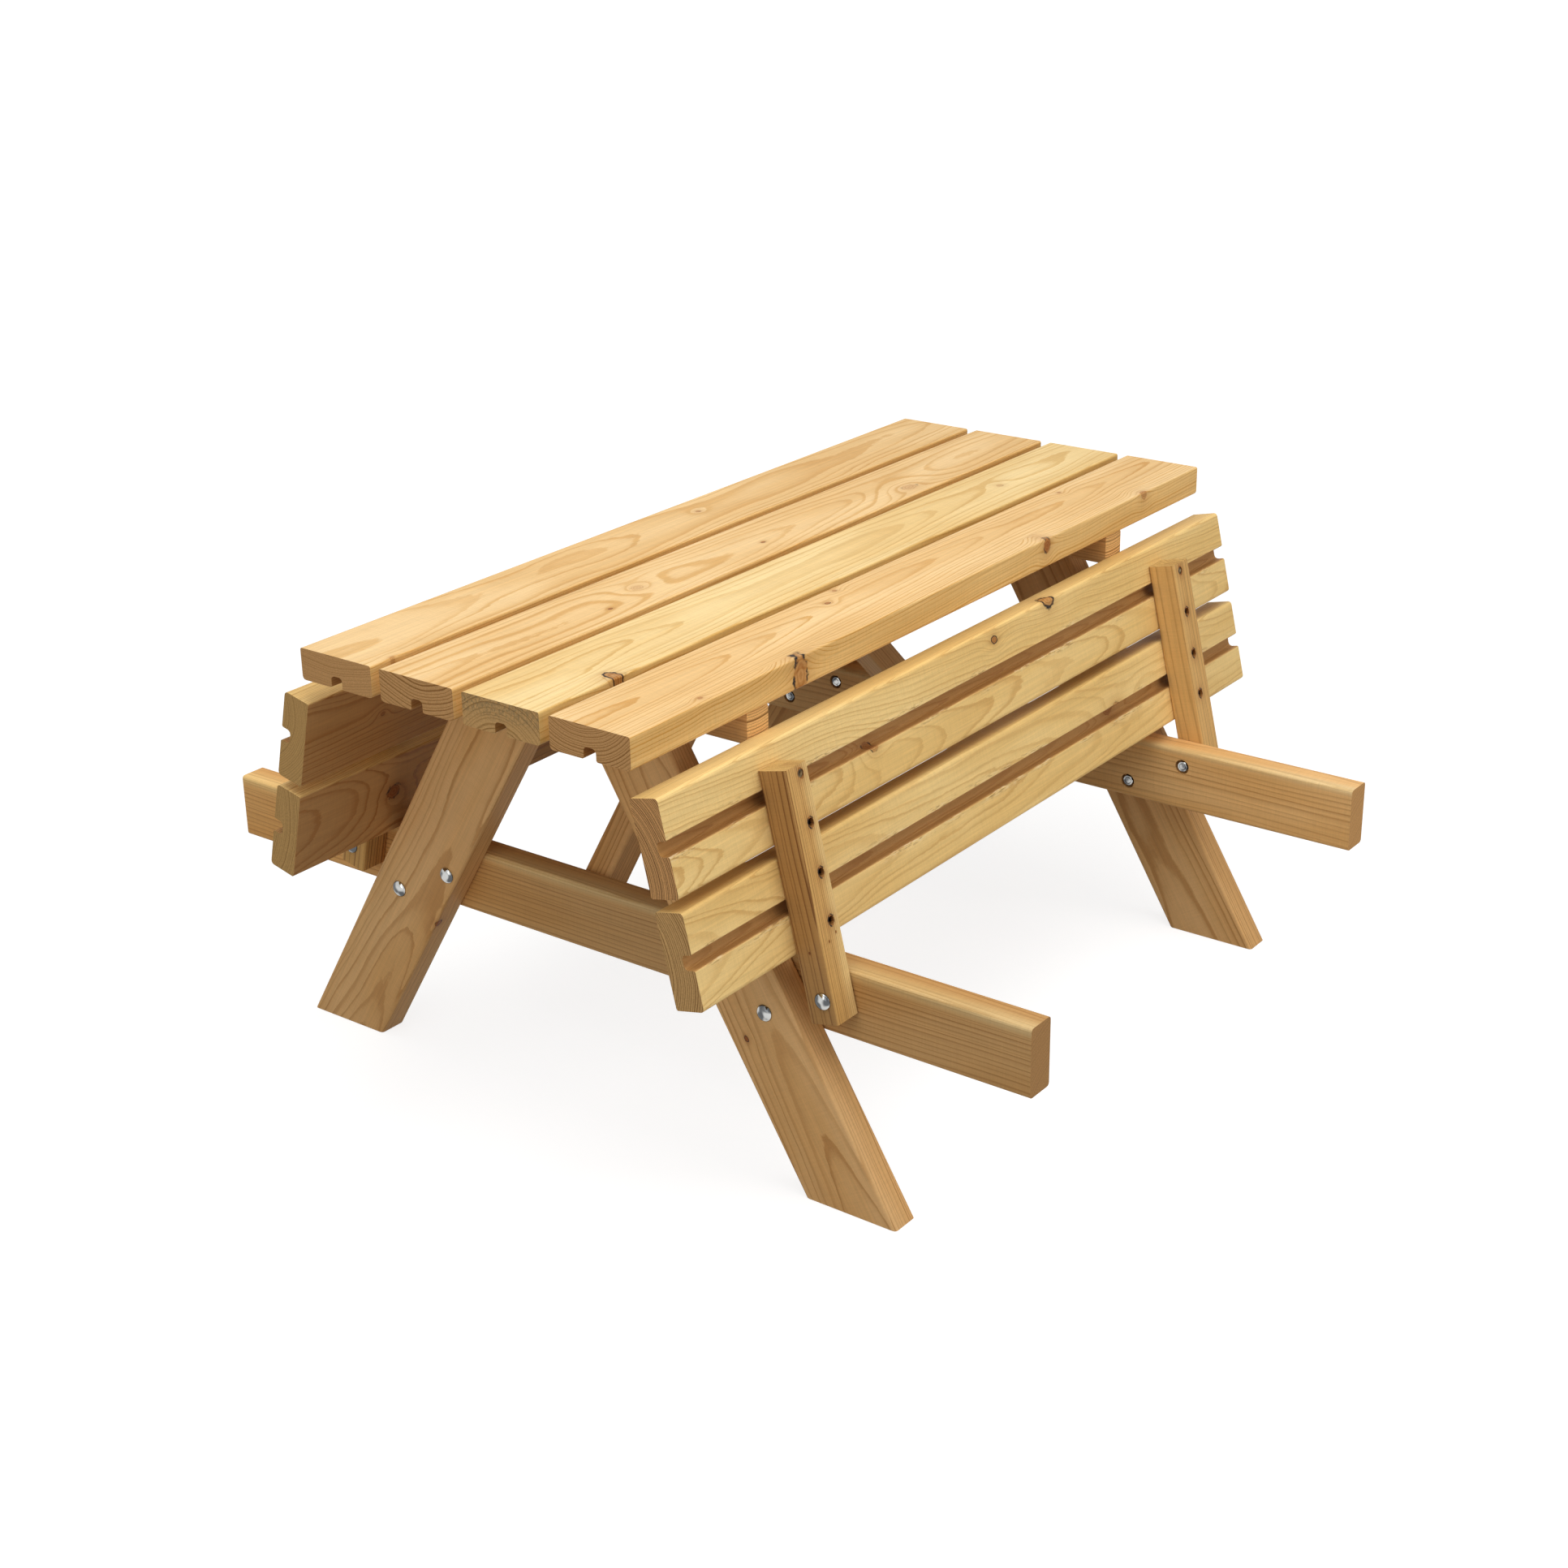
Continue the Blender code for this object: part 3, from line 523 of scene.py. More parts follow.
def dress(node, material):
    """Give a CAD node its finish."""
    slots = nodes[node].data.materials
    slots.clear()
    slots.append(material)


def grain(pale, dark, **values):
    """A look: the early and late wood's colours, and what else differs from the start values."""
    return {"Pale": (*pale, 1.0), "Dark": (*dark, 1.0), **values}


TAN = grain((0.83, 0.565, 0.27), (0.64, 0.345, 0.092))
YELLOW = grain((0.85, 0.625, 0.295), (0.67, 0.415, 0.13))
GOLD = grain((0.86, 0.595, 0.235), (0.62, 0.345, 0.098))
BROWN = grain((0.76, 0.45, 0.185), (0.49, 0.235, 0.070))
RED_BROWN = grain((0.69, 0.41, 0.14), (0.31, 0.145, 0.042))
# the top boards' side faces get a painted warm shade, and their grooves painted shade
BOARD_SIDES = {"Side tint": (1.0, 0.93, 0.72, 1), "Groove": 1.0}


def top_look(base, seed, across, above, ring, contrast, end_contrast, **values):
    look = {"Seed": seed, "Pith across": across, "Pith above": above, "Ring": ring}
    return {**base, **BOARD_SIDES, **look, "Contrast": contrast, "End contrast": end_contrast, **values}


TOP_LOOKS = [
    top_look(TAN, 3.1, 0.01, 0.20, 0.0036, 0.8, 0.35, Taper=0.014, Figure=0.005),
    top_look(TAN, 17.7, -0.004, 0.110, 0.0039, 0.95, 1.0, Taper=0.018, Figure=0.006),
    top_look(YELLOW, 29.3, 0.004, -0.055, 0.0046, 0.8, 0.7, Taper=0.02, Figure=0.006, Stain=0.6),
    top_look(TAN, 41.9, 0.012, 0.075, 0.0032, 0.9, 0.85, Taper=0.02, Figure=0.0055),
]
TOP_KNOTS = [
    [
        knot(-0.565, -0.0546, FACE, 0.003, lift=0.002, core=0.5, rim=0.0),
        knot(0.061, 0.0123, FACE, 0.0035, lift=0.003),
    ],
    [
        knot(-0.226, 0.0, FACE, 0.0075, stretch=1.4, lift=0.010, core=0.35, rim=0.25),
        knot(-0.303, -0.0239, FACE, 0.0024, rim=1.0, core=0.9, lift=0.001),
        knot(0.305, -0.0296, FACE, 0.009, stretch=1.7, lift=0.012, core=0.45, rim=0.35),
        knot(0.001, -0.0157, FACE, 0.0026, rim=1.0, core=0.9, lift=0.001),
    ],
    [
        knot(-0.474, -0.053, FACE, 0.0115, axis=(0, -0.6, 0.8), core=0.45, rim=0.3, reach=0.02),
        knot(-0.472, -0.054, FACE, 0.0055, (0, -0.6, 0.8), 1.5, 0.02, lift=0.001, core=0.85, rim=1.9),
        knot(0.378, -0.0028, FACE, 0.005, core=0.5, rim=0.3),
    ],
    [
        knot(-0.309, -0.056, -0.004, 0.026, (0, -1, 0.1), 0.5, 0.009, lift=0.007, core=0.7, rim=1.0),
        knot(-0.146, 0.0259, FACE, 0.0032, rim=1.0, core=0.9),
        knot(-0.105, 0.0456, FACE, 0.003, rim=0.4),
        knot(-0.472, -0.0443, FACE, 0.003, rim=0.2),
        knot(0.209, -0.055, 0.010, 0.010, (0.1, -1, 0.3), 0.8, 0.02, core=0.95, rim=0.8),
        knot(0.454, -0.052, 0.014, 0.006, axis=(0, -0.7, 0.7), rim=0.2),
        knot(0.391, 0.0373, FACE, 0.003, rim=0.2),
    ],
]
for number in range(4):
    middle = (0.0, (1.5 - number) * TOP_PITCH, TOP_SURFACE - FACE)
    look = (TOP_LOOKS[number], TOP_KNOTS[number])
    finish = timber_finish(f"top_timber_{number + 1}", middle, (1, 0, 0), (0, 1, 0), *look)
    dress(f"top_board_{number + 1}", finish)


def leg_across(height):
    """How far out from the table's middle a leg's centre line runs at a height."""
    at_top = LEG_TOP_FROM_CENTRE + LEG_WIDTH / 2 / math.cos(LEG_LEAN)
    return at_top + (CARRIER_TOP - height) * math.tan(LEG_LEAN)


def on_leg(side, y, z):
    """A point of a leg's face, in the leg's own directions: up along it and out across it."""
    y = side * y - leg_across(CARRIER_TOP / 2)
    z = z - CARRIER_TOP / 2
    up = z * math.cos(LEG_LEAN) - y * math.sin(LEG_LEAN)
    out = y * math.cos(LEG_LEAN) + z * math.sin(LEG_LEAN)
    return up, side * out


def leg_look(seed, across, above, taper, ring, figure):
    look = {"Seed": seed, "Pith across": across, "Pith above": above, "Taper": taper}
    return {**BROWN, **look, "Ring": ring, "Figure": figure}


LEG_LOOKS = {
    "near_left": leg_look(5.3, -0.022, -0.075, 0.03, 0.0042, 0.006),
    "near_right": leg_look(8.8, -0.02, -0.08, 0.03, 0.0045, 0.005),
    "far_left": leg_look(12.1, 0.0, -0.10, 0.02, 0.0038, 0.005),
    "far_right": leg_look(15.4, 0.02, -0.10, 0.02, 0.0042, 0.005),
}
LEG_KNOTS = {
    "near_left": [knot(-0.074, -0.0525, 0.014, 0.0042, axis=(0, -0.8, 0.6), core=1.0, rim=1.0)],
    "near_right": [knot(*on_leg(-1, -0.2554, 0.1769), FACE, 0.0028, lift=0.0015, core=1.0, rim=1.5)],
    "far_left": [],
    "far_right": [],
}
for end_name, end in ENDS.items():
    for side_name, side in SIDES.items():
        name = f"{end_name}_{side_name}"
        middle = (end * LEG_X, side * leg_across(CARRIER_TOP / 2), CARRIER_TOP / 2)
        up = (0.0, -side * math.sin(LEG_LEAN), math.cos(LEG_LEAN))
        over = (0.0, math.cos(LEG_LEAN), side * math.sin(LEG_LEAN))
        look = (LEG_LOOKS[name], LEG_KNOTS[name])
        dress(f"{name}_leg", timber_finish(f"{name}_leg_timber", middle, up, over, *look))

BEAM = {"Pith across": -0.10, "Pith above": 0.06, "Taper": 0.002, "End contrast": 0.2}
BEAM_LOOKS = {
    "near": {
        **grain((0.54, 0.31, 0.118), (0.32, 0.15, 0.045)),
        **BEAM,
        "Seed": 20.0,
        "Ring": 0.0042,
        "Wander": 0.003,
        "Figure": 0.002,
        "Sap radius": 0.150,
        "Sap pale": (0.66, 0.46, 0.21, 1),
        "Sap dark": (0.52, 0.33, 0.13, 1),
        "Far tint": (1.42, 1.34, 1.16, 1),
        "End tint": (0.80, 0.74, 0.71, 1),
    },
    "far": {
        **grain((0.78, 0.465, 0.185), (0.50, 0.25, 0.082)),
        **BEAM,
        "Seed": 22.0,
        "Ring": 0.0062,
        "Wander": 0.007,
        "Figure": 0.005,
        "Sap radius": 0.152,
        "End tint": (0.74, 0.66, 0.60, 1),
    },
}
for end_name, end in ENDS.items():
    middle = (end * BEAM_X, 0.0, BEAM_Z)
    look = BEAM_LOOKS[end_name]
    finish = timber_finish(f"{end_name}_beam_timber", middle, (0, 1, 0), (0, 0, 1), look)
    dress(f"{end_name}_seat_beam", finish)

RAIL_LOOK = {
    **BROWN,
    "Pith across": 0.0,
    "Pith above": -0.12,
    "Taper": 0.004,
    "Ring": 0.0036,
    "Figure": 0.002,
    "End tint": (1.05, 1.08, 1.05, 1),
    "End contrast": 1.0,
}
RAIL_X = {"near_top_rail": -BEAM_X, "middle_top_cleat": 0.0, "far_top_rail": BEAM_X}
for number, (node, x) in enumerate(RAIL_X.items()):
    middle = (x, 0.0, CARRIER_TOP - RAIL_SIZE / 2)
    look = {**RAIL_LOOK, "Seed": 31.0 + number * 3.7}
    dress(node, timber_finish(f"{node}_timber", middle, (0, 1, 0), (1, 0, 0), look))


def brace_rise(end_name):
    """A brace's rise from level, from how far its sawn foot reaches down the beam."""
    return math.acos(RAIL_SIZE / 2 / (BEAM_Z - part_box(f"{end_name}_brace")[0].z))


for end_name, end in ENDS.items():
    low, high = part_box(f"{end_name}_brace")
    rise = brace_rise(end_name)
    slope = (-end * math.cos(rise), 0, math.sin(rise))
    look = {**RAIL_LOOK, "Pith across": 0.05, "Pith above": -0.09, "Seed": 37.0 + end}
    middle = (low + high) / 2
    finish = timber_finish(f"{end_name}_brace_timber", middle, slope, (0, 1, 0), look)
    dress(f"{end_name}_brace", finish)


# painted shade on the seat boards' sitting faces
PAINTED_SHADE_ON_SITTING_FACE = (0.60, 0.46, 0.42, 1)
LEFT_SEAT_END = (0.60, 0.52, 0.47, 1)
RIGHT_INNER_END = (0.66, 0.57, 0.56, 1)
RIGHT_OUTER_END = (1.0, 0.93, 0.90, 1)
HEARTWOOD = grain((0.62, 0.35, 0.135), (0.26, 0.13, 0.045))


def seat_look(base, seed, across, above, ring, contrast, taper, figure, end_tint, end_contrast):
    return {
        **base,
        "Groove": 1.0,
        "Torn": 1.0,
        "Face painted shade": PAINTED_SHADE_ON_SITTING_FACE,
        "Seed": seed,
        "Pith across": across,
        "Pith above": above,
        "Ring": ring,
        "Contrast": contrast,
        "Taper": taper,
        "Figure": figure,
        "End tint": end_tint,
        "End contrast": end_contrast,
    }


SEAT_LOOKS = {
    "right_outer": {
        **seat_look(HEARTWOOD, 51.2, 0.03, 0.11, 0.0024, 0.62, 0.032, 0.005, RIGHT_OUTER_END, 1.3),
        # a lighter painted shade on this board's sitting face
        "Face painted shade": (0.84, 0.80, 0.78, 1),
        "Sap radius": 0.107,
        "Sap pale": GOLD["Pale"],
        "Sap dark": GOLD["Dark"],
    },
    "right_inner": seat_look(GOLD, 57.5, 0.0, 0.12, 0.0028, 0.60, 0.022, 0.005, RIGHT_INNER_END, 1.1),
    "left_outer": seat_look(GOLD, 63.1, 0.02, -0.07, 0.0026, 1.2, 0.02, 0.004, LEFT_SEAT_END, 0.5),
    "left_inner": seat_look(GOLD, 68.4, 0.0, -0.14, 0.0028, 1.2, 0.02, 0.005, LEFT_SEAT_END, 0.5),
}
SEAT_KNOTS = {
    "right_outer": [
        knot(-0.236, 0.008, -FACE, 0.006, rim=0.9),
        knot(0.031, -0.0401, -FACE, 0.0048, core=0.9, rim=1.7),
        knot(0.160, -0.050, -0.012, 0.009, axis=(0, -0.6, -0.8), core=0.8, rim=1.4),
    ],
    "right_inner": [knot(0.269, -0.004, -FACE, 0.009, rim=0.6)],
    "left_outer": [knot(-0.475, 0.0, FACE, 0.003)],
    "left_inner": [knot(-0.442, 0.004, FACE, 0.010, stretch=1.1, core=0.95, rim=0.8, lift=0.008)],
}

CLEAT_LOOK = {
    **RED_BROWN,
    "Pith across": 0.10,
    "Pith above": 0.067,
    "Taper": 0.003,
    "Ring": 0.0039,
    "Wander": 0.002,
    "Figure": 0.0012,
    "Contrast": 1.1,
    "End tint": (0.80, 0.84, 0.82, 1),
    "End contrast": 0.35,
}
FAR_CLEAT = {"Contrast": 0.6, "Ring": 0.0055, "Figure": 0.003}
# The near right cleat has pale sapwood along its inner edge, and painted shade on its side faces
NEAR_RIGHT_CLEAT = {
    "Pith across": -0.138,
    "Ring": 0.0030,
    "Side tint": (0.66, 0.62, 0.64, 1),
    "Sap radius": 0.1465,
    "Sap pale": (0.80, 0.55, 0.225, 1),
    "Sap dark": (0.62, 0.36, 0.12, 1),
}


def bench_turn(side):
    """The turn that raises a bench from flat, and its pivot."""
    return Matrix.Rotation(side * FOLD, 3, "X"), Vector((0.0, side * PIVOT_Y, PIVOT_Z))


def on_cleat(side, reach, inward=0.0):
    """A point of a cleat's screw face by its distance from the pivot, in the cleat's directions."""
    return side * (reach - CLEAT_MIDDLE), inward, FACE


def cleat_marks(end_name, side_name):
    """The screw holes' mouths: torn wood, with painted shade inside each hole and a dark ragged rim,
    partly painted shade, at the deep ones; and the near right cleat's specks.
    """
    end = ENDS[end_name]
    side = SIDES[side_name]
    marks = []
    for reach, recess in SEAT_SCREWS:
        spot = on_cleat(side, reach, -end * SEAT_SCREW_INWARD)
        # painted shade: each hole is darker inside, and a deep hole gets a dark ragged rim
        rim = 1.0 if recess == DEEP_RECESS else 0.3
        marks.append(knot(*spot, 0.0054, stretch=1.3, reach=0.02, lift=0.0, rim=rim, core=0.9))
    if (end_name, side_name) == ("near", "right"):
        marks.append(pin_hole(*on_cleat(side, 0.0706, 0.0088)))
        marks.append(pin_hole(*on_cleat(side, 0.0648, -0.0051)))
        marks.append(pin_hole(side * (0.0556 - CLEAT_MIDDLE), -FACE, 0.0, axis=(0, 1, 0)))
    return marks


for side_name, side in SIDES.items():
    turn, pivot = bench_turn(side)
    over = turn @ Vector((0, 1, 0))
    for index, place in enumerate(("inner", "outer")):
        name = f"{side_name}_{place}"
        reach = SEAT_START + BOARD_WIDTH / 2 + index * SEAT_PITCH
        middle = pivot + turn @ Vector((0.0, side * reach, SEAT_LEVEL))
        look = (SEAT_LOOKS[name], SEAT_KNOTS[name])
        finish = timber_finish(f"{name}_seat_timber", middle, (1, 0, 0), over, *look)
        dress(f"{side_name}_seat_board_{place}", finish)
    for end_name, end in ENDS.items():
        middle = pivot + turn @ Vector((end * CLEAT_X, side * CLEAT_MIDDLE, CLEAT_LEVEL))
        look = {**CLEAT_LOOK, "Seed": 71.0 + side + 5 * end}
        if end_name == "far":
            look.update(FAR_CLEAT)
        elif side_name == "right":
            look.update(NEAR_RIGHT_CLEAT)
        marks = cleat_marks(end_name, side_name)
        name = f"{side_name}_{end_name}_cleat_timber"
        finish = timber_finish(name, middle, over, (1, 0, 0), look, marks)
        dress(f"{side_name}_{end_name}_seat_cleat", finish)


# Metal finishes


def metal_finish(name, dark_plating_and_reflection, light_plating_and_reflection, low_gloss, high_gloss):
    """Plated steel in dark and light patches, partly the plating and partly painted reflection, with a
    light brushed tooth.
    """
    material = bpy.data.materials.new(name)
    material.use_nodes = True
    tree = material.node_tree
    shader = tree.nodes["Principled BSDF"]
    source = wire(tree, "ShaderNodeTexCoord").outputs["Object"]
    # the dark and light patches paint in reflections of the surroundings, besides the plating's own
    # unevenness
    plating_and_reflection_mottle = cloud(tree, vector_calc(tree, "MULTIPLY", source, (85, 85, 85)), 1.0, 0.4)
    colour = blend(tree, step_up(tree, plating_and_reflection_mottle, 0.42, 0.60), (*dark_plating_and_reflection, 1.0), (*light_plating_and_reflection, 1.0))
    tree.links.new(colour, shader.inputs["Base Color"])
    gloss = calc(tree, "MULTIPLY_ADD", plating_and_reflection_mottle, high_gloss - low_gloss, low_gloss)
    tree.links.new(gloss, shader.inputs["Roughness"])
    scratch = cloud(tree, vector_calc(tree, "MULTIPLY", source, (900, 2600, 900)), 2.0)
    bump = wire(tree, "ShaderNodeBump", {"Height": scratch, "Strength": 0.05, "Distance": 0.0001})
    tree.links.new(bump.outputs[0], shader.inputs["Normal"])
    shader.inputs["Metallic"].default_value = 1.0
    return material


# the patch colours are partly painted reflection
ZINC = metal_finish("zinc_plate", (0.10, 0.105, 0.11), (0.52, 0.525, 0.51), 0.07, 0.13)
SCREW_STEEL = metal_finish("screw_steel", (0.10, 0.065, 0.03), (0.24, 0.17, 0.09), 0.3, 0.5)


# Fasteners


def open_primitive(name):
    """Name the primitive that was just added and open it in edit mode."""
    piece = bpy.context.object
    piece.name = name
    bpy.ops.object.mode_set(mode="EDIT")
    return piece


def pick(kind, wanted):
    """Select only the verts, edges or faces that are wanted, in the mesh that is open."""
    mesh = bpy.context.object.data
    bpy.ops.mesh.select_mode(type=kind)
    bpy.ops.mesh.select_all(action="DESELECT")
    body = bmesh.from_edit_mesh(mesh)
    items = {"VERT": body.verts, "EDGE": body.edges, "FACE": body.faces}[kind]
    for item in items:
        if wanted(item):
            item.select_set(True)
    bmesh.update_edit_mesh(mesh)


def all_within(edge, low, high):
    """Whether an edge lies between two heights."""
    return all(low < vert.co.z < high for vert in edge.verts)


def close_piece(piece, angle=35.0):
    """Weld, turn the faces outwards, leave edit mode and shade smooth between sharp edges."""
    bpy.ops.mesh.select_all(action="SELECT")
    bpy.ops.mesh.remove_doubles(threshold=WELD)
    bpy.ops.mesh.normals_make_consistent(inside=False)
    bpy.ops.object.mode_set(mode="OBJECT")
    bpy.ops.object.transform_apply(location=True, rotation=True, scale=True)
    bpy.ops.object.shade_smooth_by_angle(angle=math.radians(angle))
    return piece


def apply_modifier(piece, kind, **settings):
    bpy.context.view_layer.objects.active = piece
    made = piece.modifiers.new(kind.lower(), kind)
    for name, value in settings.items():
        setattr(made, name, value)
    bpy.ops.object.modifier_apply(modifier=made.name)


def cut_with(piece, cutter, operation="DIFFERENCE"):
    """Cut a piece with another, which is then removed."""
    bpy.ops.object.select_all(action="DESELECT")
    piece.select_set(True)
    apply_modifier(piece, "BOOLEAN", operation=operation, solver="EXACT", object=cutter)
    bpy.data.objects.remove(cutter, do_unlink=True)


def joined(pieces, name):
    bpy.ops.object.select_all(action="DESELECT")
    for piece in pieces:
        piece.select_set(True)
    bpy.context.view_layer.objects.active = pieces[0]
    bpy.ops.object.join()
    pieces[0].name = name
    return pieces[0]


def thread(root, rise, pitch, turns, top, steps):
    """A helical thread down from a height: one crest, swept and sawn flat at both ends."""
    bpy.ops.object.select_all(action="DESELECT")
    bottom = top - turns * pitch
    start = bottom - pitch
    place = {"location": (root, 0, start + pitch / 2), "rotation": (math.pi / 2, 0, 0)}
    bpy.ops.mesh.primitive_plane_add(size=pitch, **place)
    bpy.ops.object.transform_apply(location=True, rotation=True, scale=True)
    piece = open_primitive("thread")
    pick("VERT", lambda vert: vert.co.x > root)
    bpy.ops.mesh.delete(type="VERT")
    bpy.ops.mesh.select_all(action="SELECT")
    bpy.ops.mesh.subdivide(number_cuts=1)
    bpy.ops.transform.translate(value=(pitch / 2, 0, 0))
    pick("VERT", lambda vert: abs(vert.co.z - start - pitch / 2) < pitch / 8)
    bpy.ops.transform.translate(value=(rise, 0, 0))
    bpy.ops.object.mode_set(mode="OBJECT")
    sweep = {"axis": "Z", "steps": steps, "render_steps": steps}
    sweep.update({"screw_offset": pitch, "iterations": turns + 2})
    apply_modifier(piece, "SCREW", use_merge_vertices=True, merge_threshold=WELD, **sweep)
    bpy.ops.object.mode_set(mode="EDIT")
    for height, clear in ((bottom, {"clear_inner": True}), (top, {"clear_outer": True})):
        bpy.ops.mesh.select_all(action="SELECT")
        bpy.ops.mesh.bisect(plane_co=(0, 0, height), plane_no=(0, 0, 1), use_fill=True, **clear)
    return close_piece(piece, 20.0)


def carriage_bolt(name, length):
    """A bolt down Z from its head's underside at 0: low dome, square neck, shank and thread."""
    bpy.ops.object.select_all(action="DESELECT")
    size = (BOLT_HEAD_RADIUS, BOLT_HEAD_RADIUS, BOLT_HEAD_HEIGHT)
    bpy.ops.mesh.primitive_uv_sphere_add(segments=40, ring_count=24, radius=1.0, scale=size)
    head = open_primitive("dome")
    cut = {"plane_co": (0, 0, 0.0003), "plane_no": (0, 0, 1)}
    bpy.ops.mesh.bisect(clear_inner=True, use_fill=True, **cut)
    pick("EDGE", lambda edge: all_within(edge, -1.0, 0.00035))
    bpy.ops.mesh.bevel(offset=0.00025, segments=2)
    pick("FACE", lambda face: face.normal.z < -0.9 and all(vert.co.z < 0.0006 for vert in face.verts))
    bpy.ops.transform.translate(value=(0, 0, -0.0002))
    place = (0, 0, (0.001 - NECK_DEPTH) / 2)
    size = (NECK_SIDE, NECK_SIDE, NECK_DEPTH + 0.001)
    bpy.ops.mesh.primitive_cube_add(size=1.0, location=place, scale=size)
    corner = NECK_SIDE / 2 - 1e-5
    pick("EDGE", lambda edge: all(min(abs(vert.co.x), abs(vert.co.y)) > corner for vert in edge.verts)
         and abs(edge.verts[0].co.z - edge.verts[1].co.z) > NECK_DEPTH)
    bpy.ops.mesh.bevel(offset=0.0006, segments=2)
    bare = length - BOLT_THREAD_TURNS * BOLT_PITCH
    shank = {"radius": BOLT_RADIUS - 0.0003, "depth": bare + 0.0005}
    bpy.ops.mesh.primitive_cylinder_add(vertices=24, location=(0, 0, -bare / 2), **shank)
    close_piece(head)
    rise = BOLT_PITCH * 0.55
    tail = thread(BOLT_RADIUS - rise, rise, BOLT_PITCH, BOLT_THREAD_TURNS, -bare, 24)
    return joined([head, tail], name)


def flat_washer():
    """A stamped washer centred on Z."""
    bpy.ops.object.select_all(action="DESELECT")
    bpy.ops.mesh.primitive_cylinder_add(vertices=40, radius=WASHER_RADIUS, depth=WASHER_THICKNESS)
    piece = open_primitive("flat_washer")
    pick("FACE", lambda face: abs(face.normal.z) > 0.9)
    bpy.ops.mesh.inset(thickness=WASHER_RADIUS - BOLT_RADIUS - 0.0003)
    bpy.ops.mesh.delete(type="FACE")
    pick("EDGE", lambda edge: edge.is_boundary)
    bpy.ops.mesh.bridge_edge_loops()
    rim = WASHER_RADIUS - 1e-5
    pick("EDGE", lambda edge: all(vert.co.xy.length > rim for vert in edge.verts)
         and abs(edge.verts[0].co.z - edge.verts[1].co.z) < 1e-6)
    bpy.ops.mesh.bevel(offset=0.0003, segments=2)
    return close_piece(piece)


def hexagon_nut():
    """A nut centred on Z, its corners turned off at both faces, with a countersunk bore."""
    corner = NUT_ACROSS_FLATS / 2 / math.cos(math.radians(30))
    bpy.ops.object.select_all(action="DESELECT")
    bpy.ops.mesh.primitive_cylinder_add(vertices=64, radius=corner + 0.0001, depth=NUT_HEIGHT)
    turned = open_primitive("turned_blank")
    pick("EDGE", lambda edge: abs(edge.verts[0].co.z - edge.verts[1].co.z) < 1e-6)
    bpy.ops.mesh.bevel(offset=0.0010, segments=1)
    close_piece(turned)
    bpy.ops.object.select_all(action="DESELECT")
    bpy.ops.mesh.primitive_cylinder_add(vertices=6, radius=corner, depth=NUT_HEIGHT * 0.999)
    piece = close_piece(open_primitive("hexagon_nut"))
    cut_with(piece, turned, "INTERSECT")
    bpy.ops.object.select_all(action="DESELECT")
    hole = {"radius": BOLT_RADIUS + 0.0002, "depth": NUT_HEIGHT * 2}
    bpy.ops.mesh.primitive_cylinder_add(vertices=32, **hole)
    cut_with(piece, close_piece(open_primitive("bore")))
    bpy.ops.object.mode_set(mode="EDIT")
    bore = BOLT_RADIUS + 0.0004
    pick("EDGE", lambda edge: all(vert.co.xy.length < bore for vert in edge.verts)
         and abs(edge.verts[0].co.z - edge.verts[1].co.z) < 1e-6)
    bpy.ops.mesh.bevel(offset=0.0004, segments=1)
    return close_piece(piece, 25.0)


def wood_screw():
    """A countersunk screw down Z from its head's face at 0, with a cross recess and a point."""
    bpy.ops.object.select_all(action="DESELECT")
    head_middle = (0, 0, -SCREW_HEAD_DEPTH / 2)
    cone = {"radius1": SCREW_ROOT + 0.0003, "radius2": SCREW_HEAD_RADIUS, "depth": SCREW_HEAD_DEPTH}
    bpy.ops.mesh.primitive_cone_add(vertices=28, location=head_middle, **cone)
    head = open_primitive("screw_head")
    pick("EDGE", lambda edge: all_within(edge, -1e-5, 1e-5))
    bpy.ops.mesh.bevel(offset=0.0002, segments=1)
    close_piece(head)
    for angle in (0.0, math.pi / 2):
        bpy.ops.object.select_all(action="DESELECT")
        bpy.ops.mesh.primitive_cube_add(size=1.0, rotation=(0, 0, angle), scale=CROSS_RECESS)
        bpy.ops.object.transform_apply(location=True, rotation=True, scale=True)
        slot = open_primitive("recess")
        pick("FACE", lambda face: face.normal.z < -0.9)
        bpy.ops.transform.resize(value=(0.45, 0.45, 1.0))
        cut_with(head, close_piece(slot))
    turns = int((SCREW_LENGTH - SCREW_HEAD_DEPTH) / SCREW_PITCH) - 3
    top = -SCREW_HEAD_DEPTH + 0.0002
    shank = thread(SCREW_ROOT, SCREW_THREAD, SCREW_PITCH, turns, top, 12)
    bottom = top - turns * SCREW_PITCH
    bpy.ops.object.select_all(action="DESELECT")
    tip = {"radius1": 0.0, "radius2": SCREW_ROOT, "depth": SCREW_LENGTH + bottom}
    place = (0, 0, (bottom - SCREW_LENGTH) / 2)
    bpy.ops.mesh.primitive_cone_add(vertices=12, location=place, **tip)
    point = open_primitive("screw_point")
    pick("FACE", lambda face: face.normal.z > 0.9)
    bpy.ops.mesh.extrude_region_move(TRANSFORM_OT_translate={"value": (0, 0, 0.0003)})
    return joined([head, shank, close_piece(point)], "wood_screw")


def copy_of(master, name, place, body, material):
    """A copy of a finished piece, with a mesh of its own that holds its place."""
    item = bpy.data.objects.new(name, master.data.copy())
    item.data.transform(place)
    item.data.materials.clear()
    item.data.materials.append(material)
    scene.collection.objects.link(item)
    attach(item, body)
    return item


def along_x(end, x, y, z):
    """A place with its own +Z turned to point out of the table's near or far end."""
    return Matrix.Translation((x, y, z)) @ Matrix.Rotation(end * math.pi / 2, 4, "Y")


